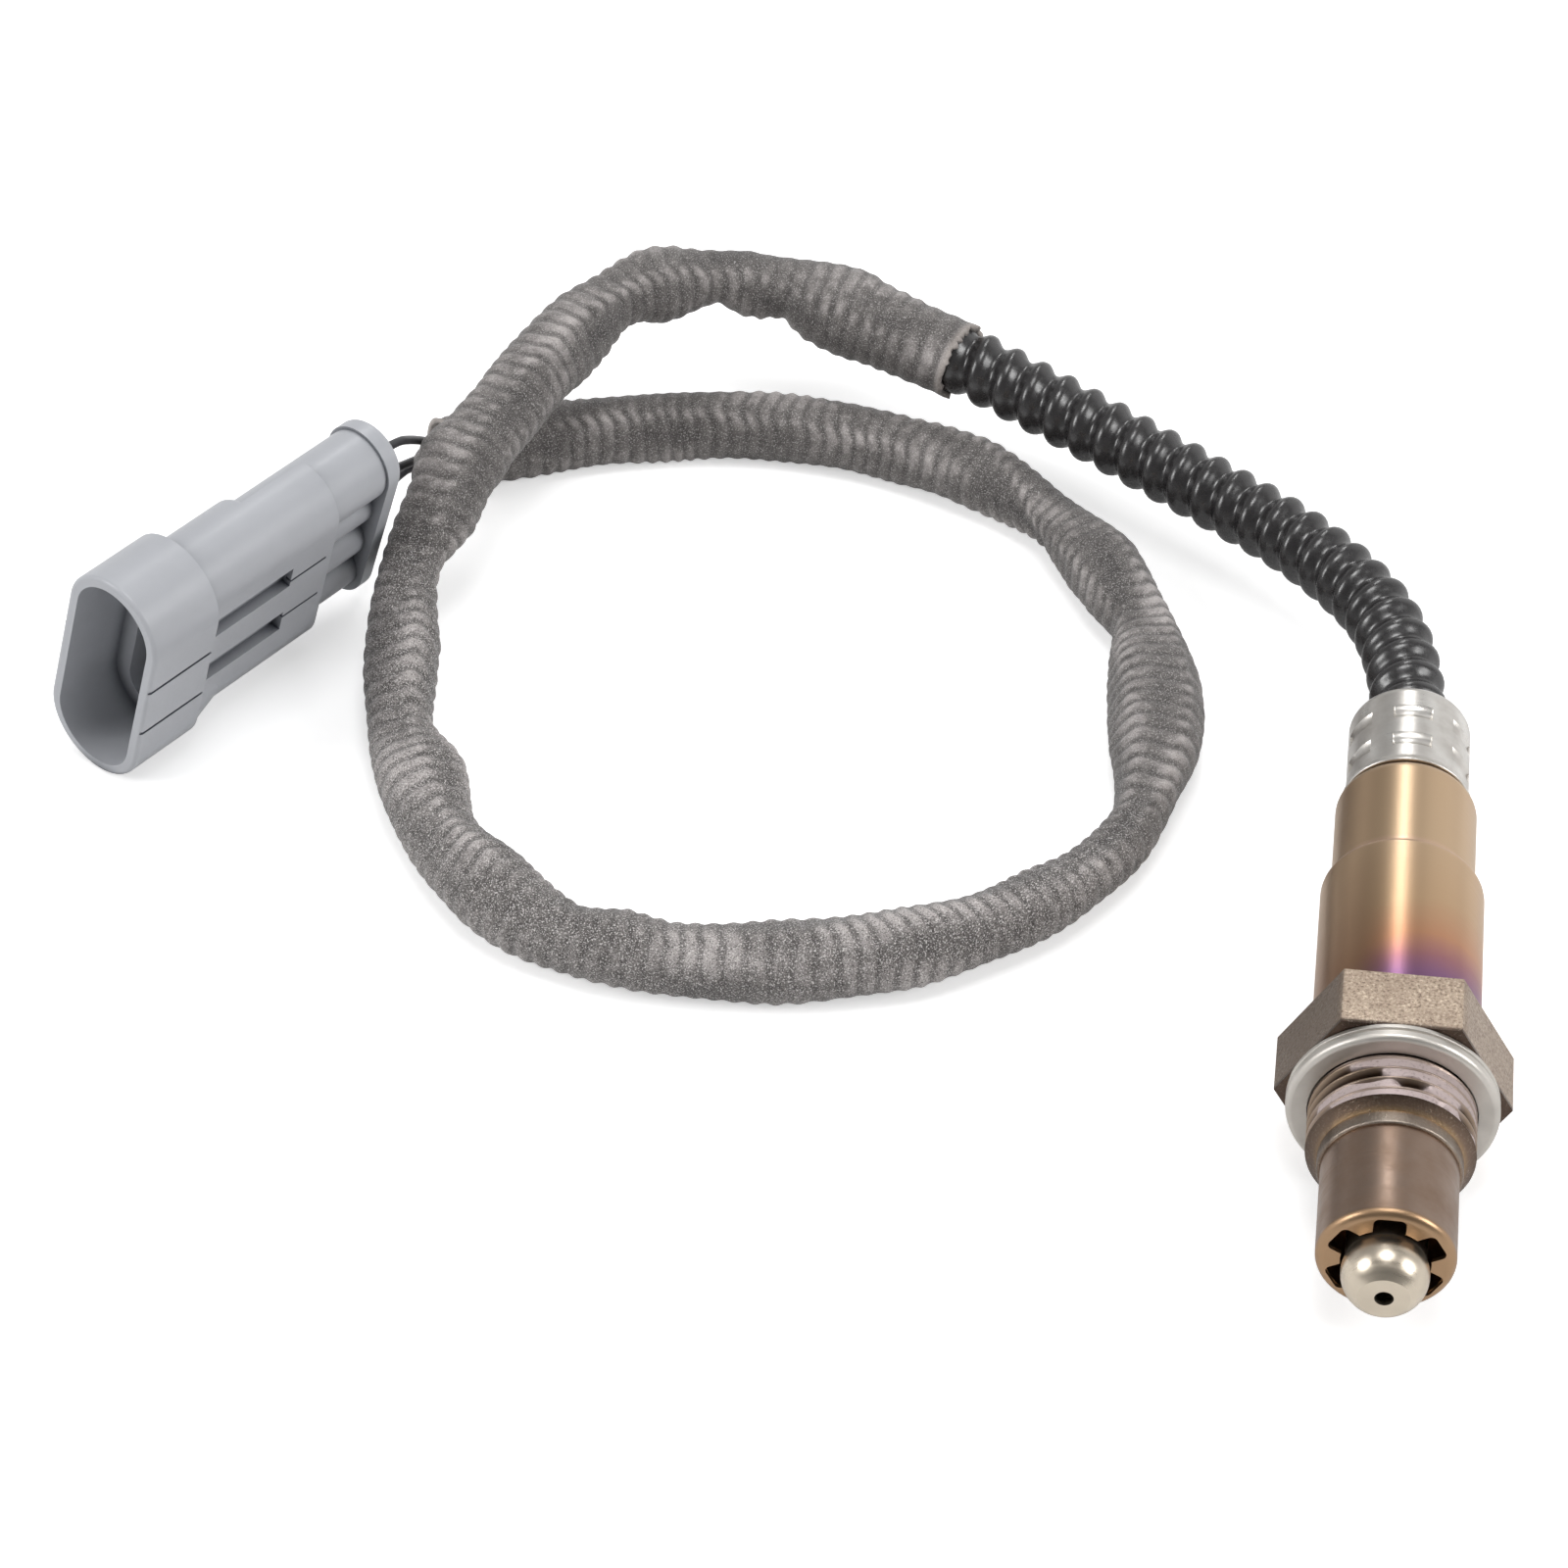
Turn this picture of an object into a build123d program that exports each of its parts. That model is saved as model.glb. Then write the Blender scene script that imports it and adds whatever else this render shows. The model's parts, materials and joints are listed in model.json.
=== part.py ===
"""Four-wire planar oxygen sensor with its cable and plug, laid down as it rests on a bench.

The origin is on the sensor's axis, where the gasket seats on the hexagon.
The sensing tip points to -Y, the cable leaves towards +Y, and +Z is up. Sizes are in mm.
"""

import os
from math import cos, radians, sin, tan

from build123d import *

# ---- Screwed body: standard M18 x 1.5 thread and 22 mm spanner size ----
THREAD_R = 9.0
THREAD_LENGTH = 8.2
HEX_ACROSS_FLATS = 22.0
HEX_THICKNESS = 8.0
THREAD_CHAMFER = 1.1
RELIEF_DEPTH = 1.0
RELIEF_LENGTH = 2.4
RELIEF_R = THREAD_R - RELIEF_DEPTH
NOSE_RING_LENGTH = 1.7
NOSE_RING_STEP = 0.4
TUBE_SEAT_Y = -(THREAD_LENGTH + THREAD_CHAMFER + NOSE_RING_LENGTH)
SPIGOT_LENGTH = 3.0
REAR_COLLAR_LENGTH = 9.0
CLEARANCE = 0.1

# ---- Folded sheet gasket: its rear sheet is captive in the relief behind the thread ----
GASKET_WIDTH = 2.4
GASKET_R = THREAD_R + GASKET_WIDTH
GASKET_THICKNESS = 2.2
GASKET_SHEET = 0.6
GASKET_FOLD_DEPTH = 0.35

# ---- Protection tubes round the sensing tip ----
SHEET = 0.5
OUTER_TUBE_R = 7.3
OUTER_TUBE_LENGTH = 12.8
NOSE_RING_R = OUTER_TUBE_R + NOSE_RING_STEP
WINDOW_COUNT = 6
WINDOW_WIDTH = 3.4
WINDOW_RIM = 1.0
INNER_TUBE_R = 4.25
DOME_R = 4.6
DOME_LENGTH = 5.0
DOME_FLAT_R = 2.7
GAS_HOLE_R = 1.0
INNER_FOOT_R = INNER_TUBE_R + 1.35
INNER_FOOT_LENGTH = 7.0
SIDE_HOLE_COUNT = 6
SIDE_HOLE_R = 0.75

# ---- Planar element and the packing that seals it ----
ELEMENT_WIDTH = 4.0
ELEMENT_THICKNESS = 1.3
ELEMENT_TIP_Y = -20.0
PACKING_R = 6.0
PACKING_LENGTH = 6.0
PACKING_FRONT_Y = -3.0
ELEMENT_PASS_R = 3.6
CLAMP_RING_LENGTH = 0.8
CAULKED_LIP_R = 4.6

# ---- Stepped rear shell, crimp collar and the conduit that they are sized for ----
CONDUIT_R = 4.5
SHELL_SHEET = 0.6
SHELL_STEP = 1.1
SHELL_REAR_Y = 47.0
SHELL_SMALL_LENGTH = 14.6
SHELL_STEP_Y = SHELL_REAR_Y - SHELL_SMALL_LENGTH
SHOULDER_ROUND = 1.5
COLLAR_LIP = 2.5
COLLAR_STEP = 1.0
COLLAR_R = CONDUIT_R + COLLAR_LIP
SHELL_SMALL_R = COLLAR_R + COLLAR_STEP
SHELL_R = SHELL_SMALL_R + SHELL_STEP
COLLAR_SHEET = 0.8
COLLAR_LENGTH = 14.0
COLLAR_GAP = 0.3
COLLAR_FLARE = 0.6
NECK_R = COLLAR_R - COLLAR_SHEET
NECK_LENGTH = 3.0
GROMMET_LENGTH = 7.5
DENTS_PER_ROW = 6
DENT_ARC = 37.0
DENT_DEPTH = 0.42
DENT_HALF_LENGTH = 1.1
DENT_ROWS = (SHELL_REAR_Y + 4.6, SHELL_REAR_Y + 9.4)

# ---- Contacts in the rear of the shell ----
ELEMENT_REAR_Y = SHELL_REAR_Y - 6.0
SPRING_RING_WALL = 0.8
HOLDER_R = SHELL_SMALL_R - SHELL_SHEET - SPRING_RING_WALL
HOLDER_LENGTH = 12.0
CONTACT_PITCH = 2.1
CONTACT_WIDTH = 1.2
CONTACT_SHEET = 0.4
CONTACT_LIFT = 0.2
BARREL_WALL = 0.35
SPRING_RING_LENGTH = 6.0
SPRING_RING_ARC = 335.0

# ---- Wires, conduit and braided sleeve ----
WIRE_R = 0.55
BARREL_R = WIRE_R + BARREL_WALL
WIRE_SPREAD = 1.7
BUNDLE_SPREAD = 1.0
CONDUIT_WALL = 1.2
SLEEVE_R = 4.2
SLEEVE_WALL = 0.6
SLEEVE_CONE = 2.4

# ---- Four-way plug housing ----
CAVITY_PITCH = 6.0
CAVITIES = (1.5, 0.5, -0.5, -1.5)
SHROUD_R = 7.05
SHROUD_LENGTH = 10.3
SHROUD_WALL = 1.4
MOUTH_DEPTH = 19.0
MOUTH_FLOOR = 1.2
THROAT_R = 3.4
PLUG_BODY_R = 5.4
PLUG_STEP_Z = 22.3
PLUG_BODY_REAR_Z = 32.0
LOBE_CUT = 1.85
RAIL_WIDTH = 5.0
RAIL_X = 0.6
RECESS_WIDTH = 3.3
RECESS_DEPTH = 1.3
RECESS_REAR_Z = 25.0
SLIT_OFFSET = 0.9
PLUG_NECK_R = 3.6
PLUG_TOP_NECK_R = 4.6
PLUG_LENGTH = 43.4
PLUG_FLANGE_Z = PLUG_LENGTH - 2.4
PLUG_FLANGE_R = 4.55
PLUG_TOP_FLANGE_R = 5.0
SEAL_BORE_R = 2.45
SEAL_BORE_DEPTH = 8.5
TERMINAL_CAVITY_R = 1.7
TAB_WIDTH = 1.5
TAB_THICKNESS = 0.8
TAB_LENGTH = 9.5
TERMINAL_BOX = 2.3
TERMINAL_LENGTH = 14.1

# ---- Where things lie ----
REST_Z = -GASKET_R
CABLE_START_Y = SHELL_REAR_Y + NECK_LENGTH + GROMMET_LENGTH
PLUG_YAW = 32.4
PLUG_ROLL = 17.4
PLUG_MOUTH_XY = (-151.45, 45.99)

# Corners of the cable's route, from the grommet's rear face to the sleeve's cut end.
CABLE_ROUTE = [
    (0, CABLE_START_Y, 0), (0, 76, 0), (-11, 94, -1.2), (-28, 107.5, -1.8), (-48, 119.5, 0.2),
    (-70, 129.5, 3.8), (-95.5, 132, 7.3), (-109.5, 115, 8), (-118, 92, 4), (-121.5, 72.5, -4.8),
    (-117, 48, -7.2), (-104, 26.5, -7.2), (-84.5, 18, -7.2), (-59.5, 21.5, -7.2),
    (-38.5, 33.5, -7.2), (-28.5, 52.5, -7.2), (-30.5, 79.5, -7.2), (-40.5, 101.5, -7.2),
    (-61, 117, -7.2), (-86, 120.5, -7.2), (-104.5, 116.5, -7.2), (-117, 110.5, -7),
    (-123, 106.4, -6),
]
SLEEVE_FRONT_LEG = 4
CONDUIT_REAR_LEG = 5
# Two more corners of each wire, between the sleeve's end and the plug.
WIRE_TURNS = [(-123.2, 106, -4.1), (-124.5, 106, -5.7), (-124.3, 107.6, -7.3), (-124.9, 108.4, -8.6)]
WIRE_FANS = [(-123.2, 93, 6.5), (-123.8, 94, 2.3), (-126.1, 95.4, -0.7), (-128.5, 97, -3.2)]

ELEMENT_SIZE = (ELEMENT_WIDTH, ELEMENT_THICKNESS)
WIRE_END_Z = PLUG_LENGTH - SEAL_BORE_DEPTH - 5
FROM_BASE = (Align.CENTER, Align.CENTER, Align.MIN)
PLUG_MOUTH_Z = REST_Z + SHROUD_R + CAVITIES[0] * CAVITY_PITCH * cos(radians(PLUG_ROLL))
PLUG_MOUTH = (*PLUG_MOUTH_XY, PLUG_MOUTH_Z)


def across(y):
    """Plane across the sensor's axis at y, facing the rear, with its own y pointing down."""
    return Plane(origin=(0, y, 0), x_dir=(1, 0, 0), z_dir=(0, 1, 0))


def turned(*corners, arc=360.0):
    """Round piece turned about the sensor's axis, from (radius, y, corner rounding) triples."""
    with BuildSketch(Plane.XY) as section:
        with BuildLine():
            FilletPolyline(
                *[(r, y) for r, y, _ in corners], radius=[c for _, _, c in corners], close=True
            )
        make_face()
    revolve(section.sketch, axis=Axis.Y, revolution_arc=arc)


def bend_radius(before, corner, after, longest_tangent=1000.0):
    """Radius whose tangents take 0.45 of the shorter run on either side of a corner."""
    back, ahead = Vector(before) - Vector(corner), Vector(after) - Vector(corner)
    half_turn = radians(180 - back.get_angle(ahead)) / 2
    tangent = min(0.45 * min(back.length, ahead.length), longest_tangent)
    return tangent / tan(half_turn)


def bend_radii(points, longest_last=1000.0):
    """Bend radius of each inner corner of a route."""
    last = len(points) - 2
    return [
        bend_radius(*points[i - 1:i + 2], longest_tangent=longest_last if i == last else 1000.0)
        for i in range(1, last + 1)
    ]


ROUTE_RADII = bend_radii(CABLE_ROUTE)


def on_leg(leg, shift=0.0):
    """Middle of a run of the cable's route, shifted along it."""
    start, end = Vector(CABLE_ROUTE[leg]), Vector(CABLE_ROUTE[leg + 1])
    return (start + end) / 2 + (end - start).normalized() * shift


def leg_plane(leg, shift=0.0):
    """Plane across a run of the cable's route."""
    return Plane(
        origin=on_leg(leg, shift), z_dir=Vector(CABLE_ROUTE[leg + 1]) - Vector(CABLE_ROUTE[leg])
    )


def route_between(start, first_corner, last_corner, end):
    """Part of the cable's route, with the bends that the whole route has."""
    corners = CABLE_ROUTE[first_corner:last_corner + 1]
    return FilletPolyline(
        start, *corners, end, radius=ROUTE_RADII[first_corner - 1:last_corner]
    )


def ring_sweep(path, outer_r, bore_r):
    """Tube of one bore swept along a path."""
    with BuildSketch(Plane(origin=path @ 0, z_dir=path % 0)) as ring:
        Circle(outer_r)
        Circle(bore_r, mode=Mode.SUBTRACT)
    sweep(ring.sketch, path=path)


def on_plug(z):
    """Plane across the plug at z from its mouth: x runs up the cavity row, y across it."""
    yaw, roll = radians(PLUG_YAW), radians(PLUG_ROLL)
    row = Vector(sin(roll) * cos(yaw), -sin(roll) * sin(yaw), cos(roll))
    mouth = Plane(origin=PLUG_MOUTH, x_dir=row, z_dir=(sin(yaw), cos(yaw), 0))
    return mouth.offset(z)


def plug_cavity(index, z):
    """Plane across one of the plug's cavities at z from the mouth."""
    plane = on_plug(z)
    plane.origin = plane.from_local_coords((CAVITIES[index] * CAVITY_PITCH, 0, 0))
    return plane


def plug_rim(z):
    """Test that keeps the edges that lie in the plane across the plug at z."""
    plane = on_plug(0)
    return lambda edge: all(
        abs(plane.to_local_coords(edge @ t).Z - z) < 0.01 for t in (0, 0.5, 1)
    )


def wire_route(side, up, index):
    """Route of one wire: in the bundle beside the cable's centre line, then to its cavity."""
    spread = BUNDLE_SPREAD
    points = [
        (side * WIRE_SPREAD, SHELL_REAR_Y + CLEARANCE, up * WIRE_SPREAD),
        (side * WIRE_SPREAD, (CABLE_START_Y + CABLE_ROUTE[1][1]) / 2, up * WIRE_SPREAD),
    ]
    centres = [Vector(*p) for p in CABLE_ROUTE]
    for i in range(1, len(centres) - 1):
        run_in = (centres[i] - centres[i - 1]).normalized()
        run_out = (centres[i + 1] - centres[i]).normalized()
        along = Vector((run_in + run_out).X, (run_in + run_out).Y, 0).normalized()
        beside = Vector(along.Y, -along.X, 0)
        points.append(centres[i] + beside * side * spread + Vector(0, 0, up * spread))
    points += [WIRE_TURNS[index], WIRE_FANS[index]]
    points.append(plug_cavity(index, PLUG_LENGTH + 3.2).origin)
    points.append(plug_cavity(index, WIRE_END_Z).origin)
    return points


# ================= Screwed body =================

with BuildPart() as sensor_housing:
    rear_y = HEX_THICKNESS + REAR_COLLAR_LENGTH
    lip_y = PACKING_FRONT_Y + 3 * PACKING_LENGTH + CLAMP_RING_LENGTH
    foot_y = TUBE_SEAT_Y - SPIGOT_LENGTH + INNER_FOOT_LENGTH
    turned(
        (OUTER_TUBE_R - SHEET, TUBE_SEAT_Y - SPIGOT_LENGTH, 0),
        (OUTER_TUBE_R - SHEET, TUBE_SEAT_Y, 0),
        (NOSE_RING_R, TUBE_SEAT_Y, 0.3),
        (NOSE_RING_R, TUBE_SEAT_Y + NOSE_RING_LENGTH, 0),
        (THREAD_R, -THREAD_LENGTH, 0),
        (THREAD_R, -RELIEF_LENGTH, 0),
        (RELIEF_R, -RELIEF_LENGTH, 0),
        (RELIEF_R, HEX_THICKNESS, 0),
        (SHELL_R - SHELL_SHEET, HEX_THICKNESS, 0),
        (SHELL_R - SHELL_SHEET, rear_y, 0.6),
        (CAULKED_LIP_R, rear_y, 0.5),
        (CAULKED_LIP_R, lip_y, 0),
        (PACKING_R, lip_y, 0),
        (PACKING_R, PACKING_FRONT_Y, 0),
        (ELEMENT_PASS_R, PACKING_FRONT_Y, 0),
        (ELEMENT_PASS_R, foot_y, 0),
        (INNER_FOOT_R, foot_y, 0),
        (INNER_FOOT_R, TUBE_SEAT_Y - SPIGOT_LENGTH, 0),
    )
    with BuildSketch(across(0)):
        RegularPolygon(radius=HEX_ACROSS_FLATS / 2, side_count=6, major_radius=False)
        Circle(RELIEF_R - 0.5, mode=Mode.SUBTRACT)
    extrude(amount=HEX_THICKNESS)

with BuildPart() as sealing_gasket:
    bore = THREAD_R + CLEARANCE
    captive_bore = RELIEF_R + 2 * CLEARANCE
    turned(
        (captive_bore, 0, 0),
        (GASKET_R, 0, 0.3),
        (GASKET_R, -0.3 * GASKET_THICKNESS, 0.1),
        (GASKET_R - GASKET_FOLD_DEPTH, -0.38 * GASKET_THICKNESS, 0),
        (GASKET_R, -0.46 * GASKET_THICKNESS, 0.15),
        (GASKET_R, -GASKET_THICKNESS, 0.7),
        (bore, -GASKET_THICKNESS, 0),
        (bore, GASKET_SHEET - GASKET_THICKNESS, 0),
        (GASKET_R - GASKET_SHEET, GASKET_SHEET - GASKET_THICKNESS, 0.3),
        (GASKET_R - GASKET_SHEET, -GASKET_SHEET, 0.3),
        (captive_bore, -GASKET_SHEET, 0),
    )

# ================= Protection tubes =================

with BuildPart() as outer_protection_tube:
    front_y = TUBE_SEAT_Y - OUTER_TUBE_LENGTH
    hole_r = DOME_R + CLEARANCE
    turned(
        (OUTER_TUBE_R, TUBE_SEAT_Y, 0),
        (OUTER_TUBE_R, front_y, 1.0),
        (hole_r, front_y, 0),
        (hole_r, front_y + SHEET, 0),
        (OUTER_TUBE_R - SHEET, front_y + SHEET, 0.5),
        (OUTER_TUBE_R - SHEET, TUBE_SEAT_Y, 0),
    )
    window_out = OUTER_TUBE_R - WINDOW_RIM
    window_in = hole_r - 0.8
    with BuildSketch(across(front_y)):
        with PolarLocations((window_out + window_in) / 2, WINDOW_COUNT, start_angle=90):
            RectangleRounded(window_out - window_in, WINDOW_WIDTH, 0.7)
    extrude(amount=SHEET, mode=Mode.SUBTRACT)

with BuildPart() as inner_protection_tube:
    foot_front = TUBE_SEAT_Y - SPIGOT_LENGTH
    dome_y = TUBE_SEAT_Y - OUTER_TUBE_LENGTH
    tip_y = dome_y - DOME_LENGTH
    bulge_y = dome_y - 0.36 * DOME_LENGTH
    with BuildSketch(Plane.XY):
        with BuildLine():
            outside = FilletPolyline(
                (INNER_FOOT_R, foot_y), (INNER_FOOT_R, foot_front), (INNER_TUBE_R, foot_front - 2),
                (INNER_TUBE_R, dome_y), radius=[0.5, 0.8],
            )
            dome = ThreePointArc(outside @ 1, (DOME_R, bulge_y), (DOME_FLAT_R, tip_y))
            tip = Polyline(dome @ 1, (GAS_HOLE_R, tip_y), (GAS_HOLE_R, tip_y + SHEET),
                           (DOME_FLAT_R - 0.2, tip_y + SHEET))
            lining = ThreePointArc(
                tip @ 1, (DOME_R - SHEET, bulge_y + 0.1), (INNER_TUBE_R - SHEET, dome_y + 0.2)
            )
            inside = FilletPolyline(
                lining @ 1, (INNER_TUBE_R - SHEET, foot_front - 1.8),
                (INNER_FOOT_R - SHEET, foot_front + 0.2), (INNER_FOOT_R - SHEET, foot_y),
                radius=[0.5, 0.4],
            )
            Line(inside @ 1, outside @ 0)
        make_face()
    revolve(axis=Axis.Y)
    with Locations(across(dome_y + 4)):
        with PolarLocations(0, SIDE_HOLE_COUNT):
            Cylinder(
                SIDE_HOLE_R, 2 * DOME_R, rotation=(0, 90, 0), align=FROM_BASE, mode=Mode.SUBTRACT
            )

# ================= Element and packing =================

with BuildPart() as sensing_element:
    with BuildSketch(across(ELEMENT_TIP_Y)):
        Rectangle(*ELEMENT_SIZE)
    extrude(amount=ELEMENT_REAR_Y - ELEMENT_TIP_Y)
    chamfer(sensing_element.faces().sort_by(Axis.Y)[0].edges().filter_by(Axis.Z), 0.6)


def packing_disc(front_y, radius, slot_clearance):
    """One of the three slotted discs that seal the element in the body."""
    with BuildSketch(across(front_y)) as disc:
        Circle(radius)
        Rectangle(*[size + slot_clearance for size in ELEMENT_SIZE], mode=Mode.SUBTRACT)
    extrude(disc.sketch, amount=PACKING_LENGTH)


with BuildPart() as lower_ceramic_bush:
    packing_disc(PACKING_FRONT_Y, PACKING_R - CLEARANCE, 2 * CLEARANCE)

with BuildPart() as talc_seal:
    packing_disc(PACKING_FRONT_Y + PACKING_LENGTH, PACKING_R, 0)

with BuildPart() as upper_ceramic_bush:
    packing_disc(PACKING_FRONT_Y + 2 * PACKING_LENGTH, PACKING_R - CLEARANCE, 2 * CLEARANCE)

with BuildPart() as clamp_ring:
    with BuildSketch(across(PACKING_FRONT_Y + 3 * PACKING_LENGTH)):
        Circle(PACKING_R - CLEARANCE)
        Circle(CAULKED_LIP_R - 1.2, mode=Mode.SUBTRACT)
    extrude(amount=CLAMP_RING_LENGTH)

# ================= Rear shell and collar =================

with BuildPart() as protective_shell:
    wall = SHELL_SHEET
    turned(
        (SHELL_R, HEX_THICKNESS, 0),
        (SHELL_R, SHELL_STEP_Y, 0.9),
        (SHELL_SMALL_R, SHELL_STEP_Y, 0.25),
        (SHELL_SMALL_R, SHELL_REAR_Y, SHOULDER_ROUND),
        (NECK_R, SHELL_REAR_Y, 0.2),
        (NECK_R, SHELL_REAR_Y + NECK_LENGTH, 0),
        (NECK_R - wall, SHELL_REAR_Y + NECK_LENGTH, 0),
        (NECK_R - wall, SHELL_REAR_Y - wall, 0.3),
        (SHELL_SMALL_R - wall, SHELL_REAR_Y - wall, SHOULDER_ROUND - wall),
        (SHELL_SMALL_R - wall, SHELL_STEP_Y - wall, 0.3),
        (SHELL_R - wall, SHELL_STEP_Y - wall, 0.4),
        (SHELL_R - wall, HEX_THICKNESS, 0),
    )

with BuildPart() as crimp_collar:
    collar_y = SHELL_REAR_Y + COLLAR_GAP
    collar_rear = collar_y + COLLAR_LENGTH
    turned(
        (COLLAR_R + COLLAR_FLARE, collar_y, 0.2),
        (COLLAR_R, collar_y + 1.3, 0.6),
        (COLLAR_R, collar_rear, 1.5),
        (CONDUIT_R + CLEARANCE, collar_rear, 0.2),
        (CONDUIT_R + CLEARANCE, collar_rear - COLLAR_SHEET, 0),
        (NECK_R, collar_rear - COLLAR_SHEET, 0.7),
        (NECK_R, collar_y + 1.6, 0.4),
        (NECK_R + COLLAR_FLARE, collar_y, 0),
    )
    chord = DENT_HALF_LENGTH
    for row_y in DENT_ROWS:
        for turn in range(DENTS_PER_ROW):
            start_plane = Plane.XY.rotated((0, turn * 360 / DENTS_PER_ROW + 30 - DENT_ARC / 2, 0))
            with BuildSketch(start_plane):
                with BuildLine():
                    dent = ThreePointArc(
                        (COLLAR_R + 0.01, row_y - chord), (COLLAR_R - DENT_DEPTH, row_y),
                        (COLLAR_R + 0.01, row_y + chord),
                    )
                    Line(dent @ 1, dent @ 0)
                make_face()
            revolve(axis=Axis.Y, revolution_arc=DENT_ARC, mode=Mode.SUBTRACT)

# ================= Contacts =================

holder_rear = SHELL_REAR_Y - SHELL_SHEET
pocket_height = ELEMENT_THICKNESS / 2 + CONTACT_LIFT + CONTACT_SHEET

with BuildPart() as contact_holder_upper:
    with BuildSketch(across(holder_rear - HOLDER_LENGTH)):
        Circle(HOLDER_R)
        with Locations((0, HOLDER_R)):
            Rectangle(2 * HOLDER_R, 2 * HOLDER_R, mode=Mode.SUBTRACT)
        Rectangle(ELEMENT_WIDTH + 2 * CLEARANCE, 2 * pocket_height, mode=Mode.SUBTRACT)
    extrude(amount=HOLDER_LENGTH)
    with BuildSketch(across(ELEMENT_REAR_Y)):
        with Locations((0, -HOLDER_R / 2)):
            Rectangle(1.6 * HOLDER_R, 1.2, mode=Mode.ADD)
    extrude(amount=1.0, mode=Mode.SUBTRACT)

with BuildPart() as contact_holder_lower:
    add(mirror(contact_holder_upper.part, about=Plane.XY))

with BuildPart() as holder_spring_ring:
    ring_y = holder_rear - HOLDER_LENGTH + 2
    turned(
        (HOLDER_R, ring_y, 0),
        (HOLDER_R + SPRING_RING_WALL, ring_y + 0.6, 0),
        (HOLDER_R + SPRING_RING_WALL, ring_y + SPRING_RING_LENGTH - 0.6, 0),
        (HOLDER_R, ring_y + SPRING_RING_LENGTH, 0),
        arc=SPRING_RING_ARC,
    )

with BuildPart() as contact_clip_1:
    strip_z = ELEMENT_THICKNESS / 2 + CONTACT_LIFT + CONTACT_SHEET / 2
    strip_x = CONTACT_PITCH / 2
    strip_front = holder_rear - HOLDER_LENGTH + 1
    barrel_front = SHELL_REAR_Y - 0.3
    with BuildSketch(across(strip_front)):
        with Locations((strip_x, -strip_z)):
            Rectangle(CONTACT_WIDTH, CONTACT_SHEET)
    extrude(amount=holder_rear - strip_front)
    with Locations((strip_x, strip_front + 2, ELEMENT_THICKNESS / 2 + CONTACT_LIFT)):
        Cylinder(CONTACT_LIFT, CONTACT_WIDTH, rotation=(0, 90, 0))
    with BuildSketch(across(holder_rear)):
        with Locations((strip_x, -strip_z)):
            Rectangle(CONTACT_WIDTH, CONTACT_SHEET)
    with BuildSketch(across(barrel_front)):
        with Locations((WIRE_SPREAD, -WIRE_SPREAD)):
            Rectangle(CONTACT_WIDTH, CONTACT_SHEET)
    loft()
    with BuildSketch(across(barrel_front)):
        with Locations((WIRE_SPREAD, -WIRE_SPREAD)):
            Circle(BARREL_R)
    extrude(amount=SHELL_REAR_Y + NECK_LENGTH - barrel_front)
    with BuildSketch(across(SHELL_REAR_Y + CLEARANCE)):
        with Locations((WIRE_SPREAD, -WIRE_SPREAD)):
            Circle(WIRE_R)
    extrude(amount=NECK_LENGTH, mode=Mode.SUBTRACT)

with BuildPart() as contact_clip_2:
    add(mirror(contact_clip_1.part, about=Plane.YZ))

with BuildPart() as contact_clip_3:
    add(mirror(contact_clip_1.part, about=Plane.XY))

with BuildPart() as contact_clip_4:
    add(mirror(contact_clip_2.part, about=Plane.XY))

with BuildPart() as rubber_grommet:
    with BuildSketch(across(SHELL_REAR_Y + NECK_LENGTH)):
        Circle(NECK_R)
        with GridLocations(2 * WIRE_SPREAD, 2 * WIRE_SPREAD, 2, 2):
            Circle(WIRE_R, mode=Mode.SUBTRACT)
    extrude(amount=GROMMET_LENGTH)

# ================= Cable =================

with BuildPart() as corrugated_conduit:
    with BuildLine() as conduit_line:
        route_between(
            CABLE_ROUTE[0], 1, CONDUIT_REAR_LEG, on_leg(CONDUIT_REAR_LEG, -SLEEVE_CONE / 2)
        )
    ring_sweep(conduit_line.line, CONDUIT_R, CONDUIT_R - CONDUIT_WALL)

with BuildPart() as braided_sleeve:
    wide_bore = CONDUIT_R + CLEARANCE
    sleeve_bore = SLEEVE_R - SLEEVE_WALL
    cone_front, cone_rear = -SLEEVE_CONE / 2, SLEEVE_CONE / 2
    with BuildLine() as over_conduit:
        route_between(
            on_leg(SLEEVE_FRONT_LEG), SLEEVE_FRONT_LEG + 1, CONDUIT_REAR_LEG,
            on_leg(CONDUIT_REAR_LEG, cone_front),
        )
    ring_sweep(over_conduit.line, wide_bore + SLEEVE_WALL, wide_bore)
    with BuildLine() as over_wires:
        route_between(
            on_leg(CONDUIT_REAR_LEG, cone_rear), CONDUIT_REAR_LEG + 1, len(CABLE_ROUTE) - 2,
            CABLE_ROUTE[-1],
        )
    ring_sweep(over_wires.line, SLEEVE_R, sleeve_bore)
    for front_r, rear_r, way in (
        (wide_bore + SLEEVE_WALL, SLEEVE_R, Mode.ADD), (wide_bore, sleeve_bore, Mode.SUBTRACT)
    ):
        with BuildSketch(leg_plane(CONDUIT_REAR_LEG, cone_front)):
            Circle(front_r)
        with BuildSketch(leg_plane(CONDUIT_REAR_LEG, cone_rear)):
            Circle(rear_r)
        loft(mode=way)


def wire_solid(side, up, index):
    """One insulated wire, from its contact's barrel to its terminal's barrel."""
    route = wire_route(side, up, index)
    with BuildLine() as run:
        FilletPolyline(*route, radius=bend_radii(route, longest_last=3.0))
    with BuildSketch(Plane(origin=route[0], z_dir=(0, 1, 0))) as section:
        Circle(WIRE_R)
    sweep(section.sketch, path=run.line)


with BuildPart() as wire_1:
    wire_solid(-1, 1, 0)

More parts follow.
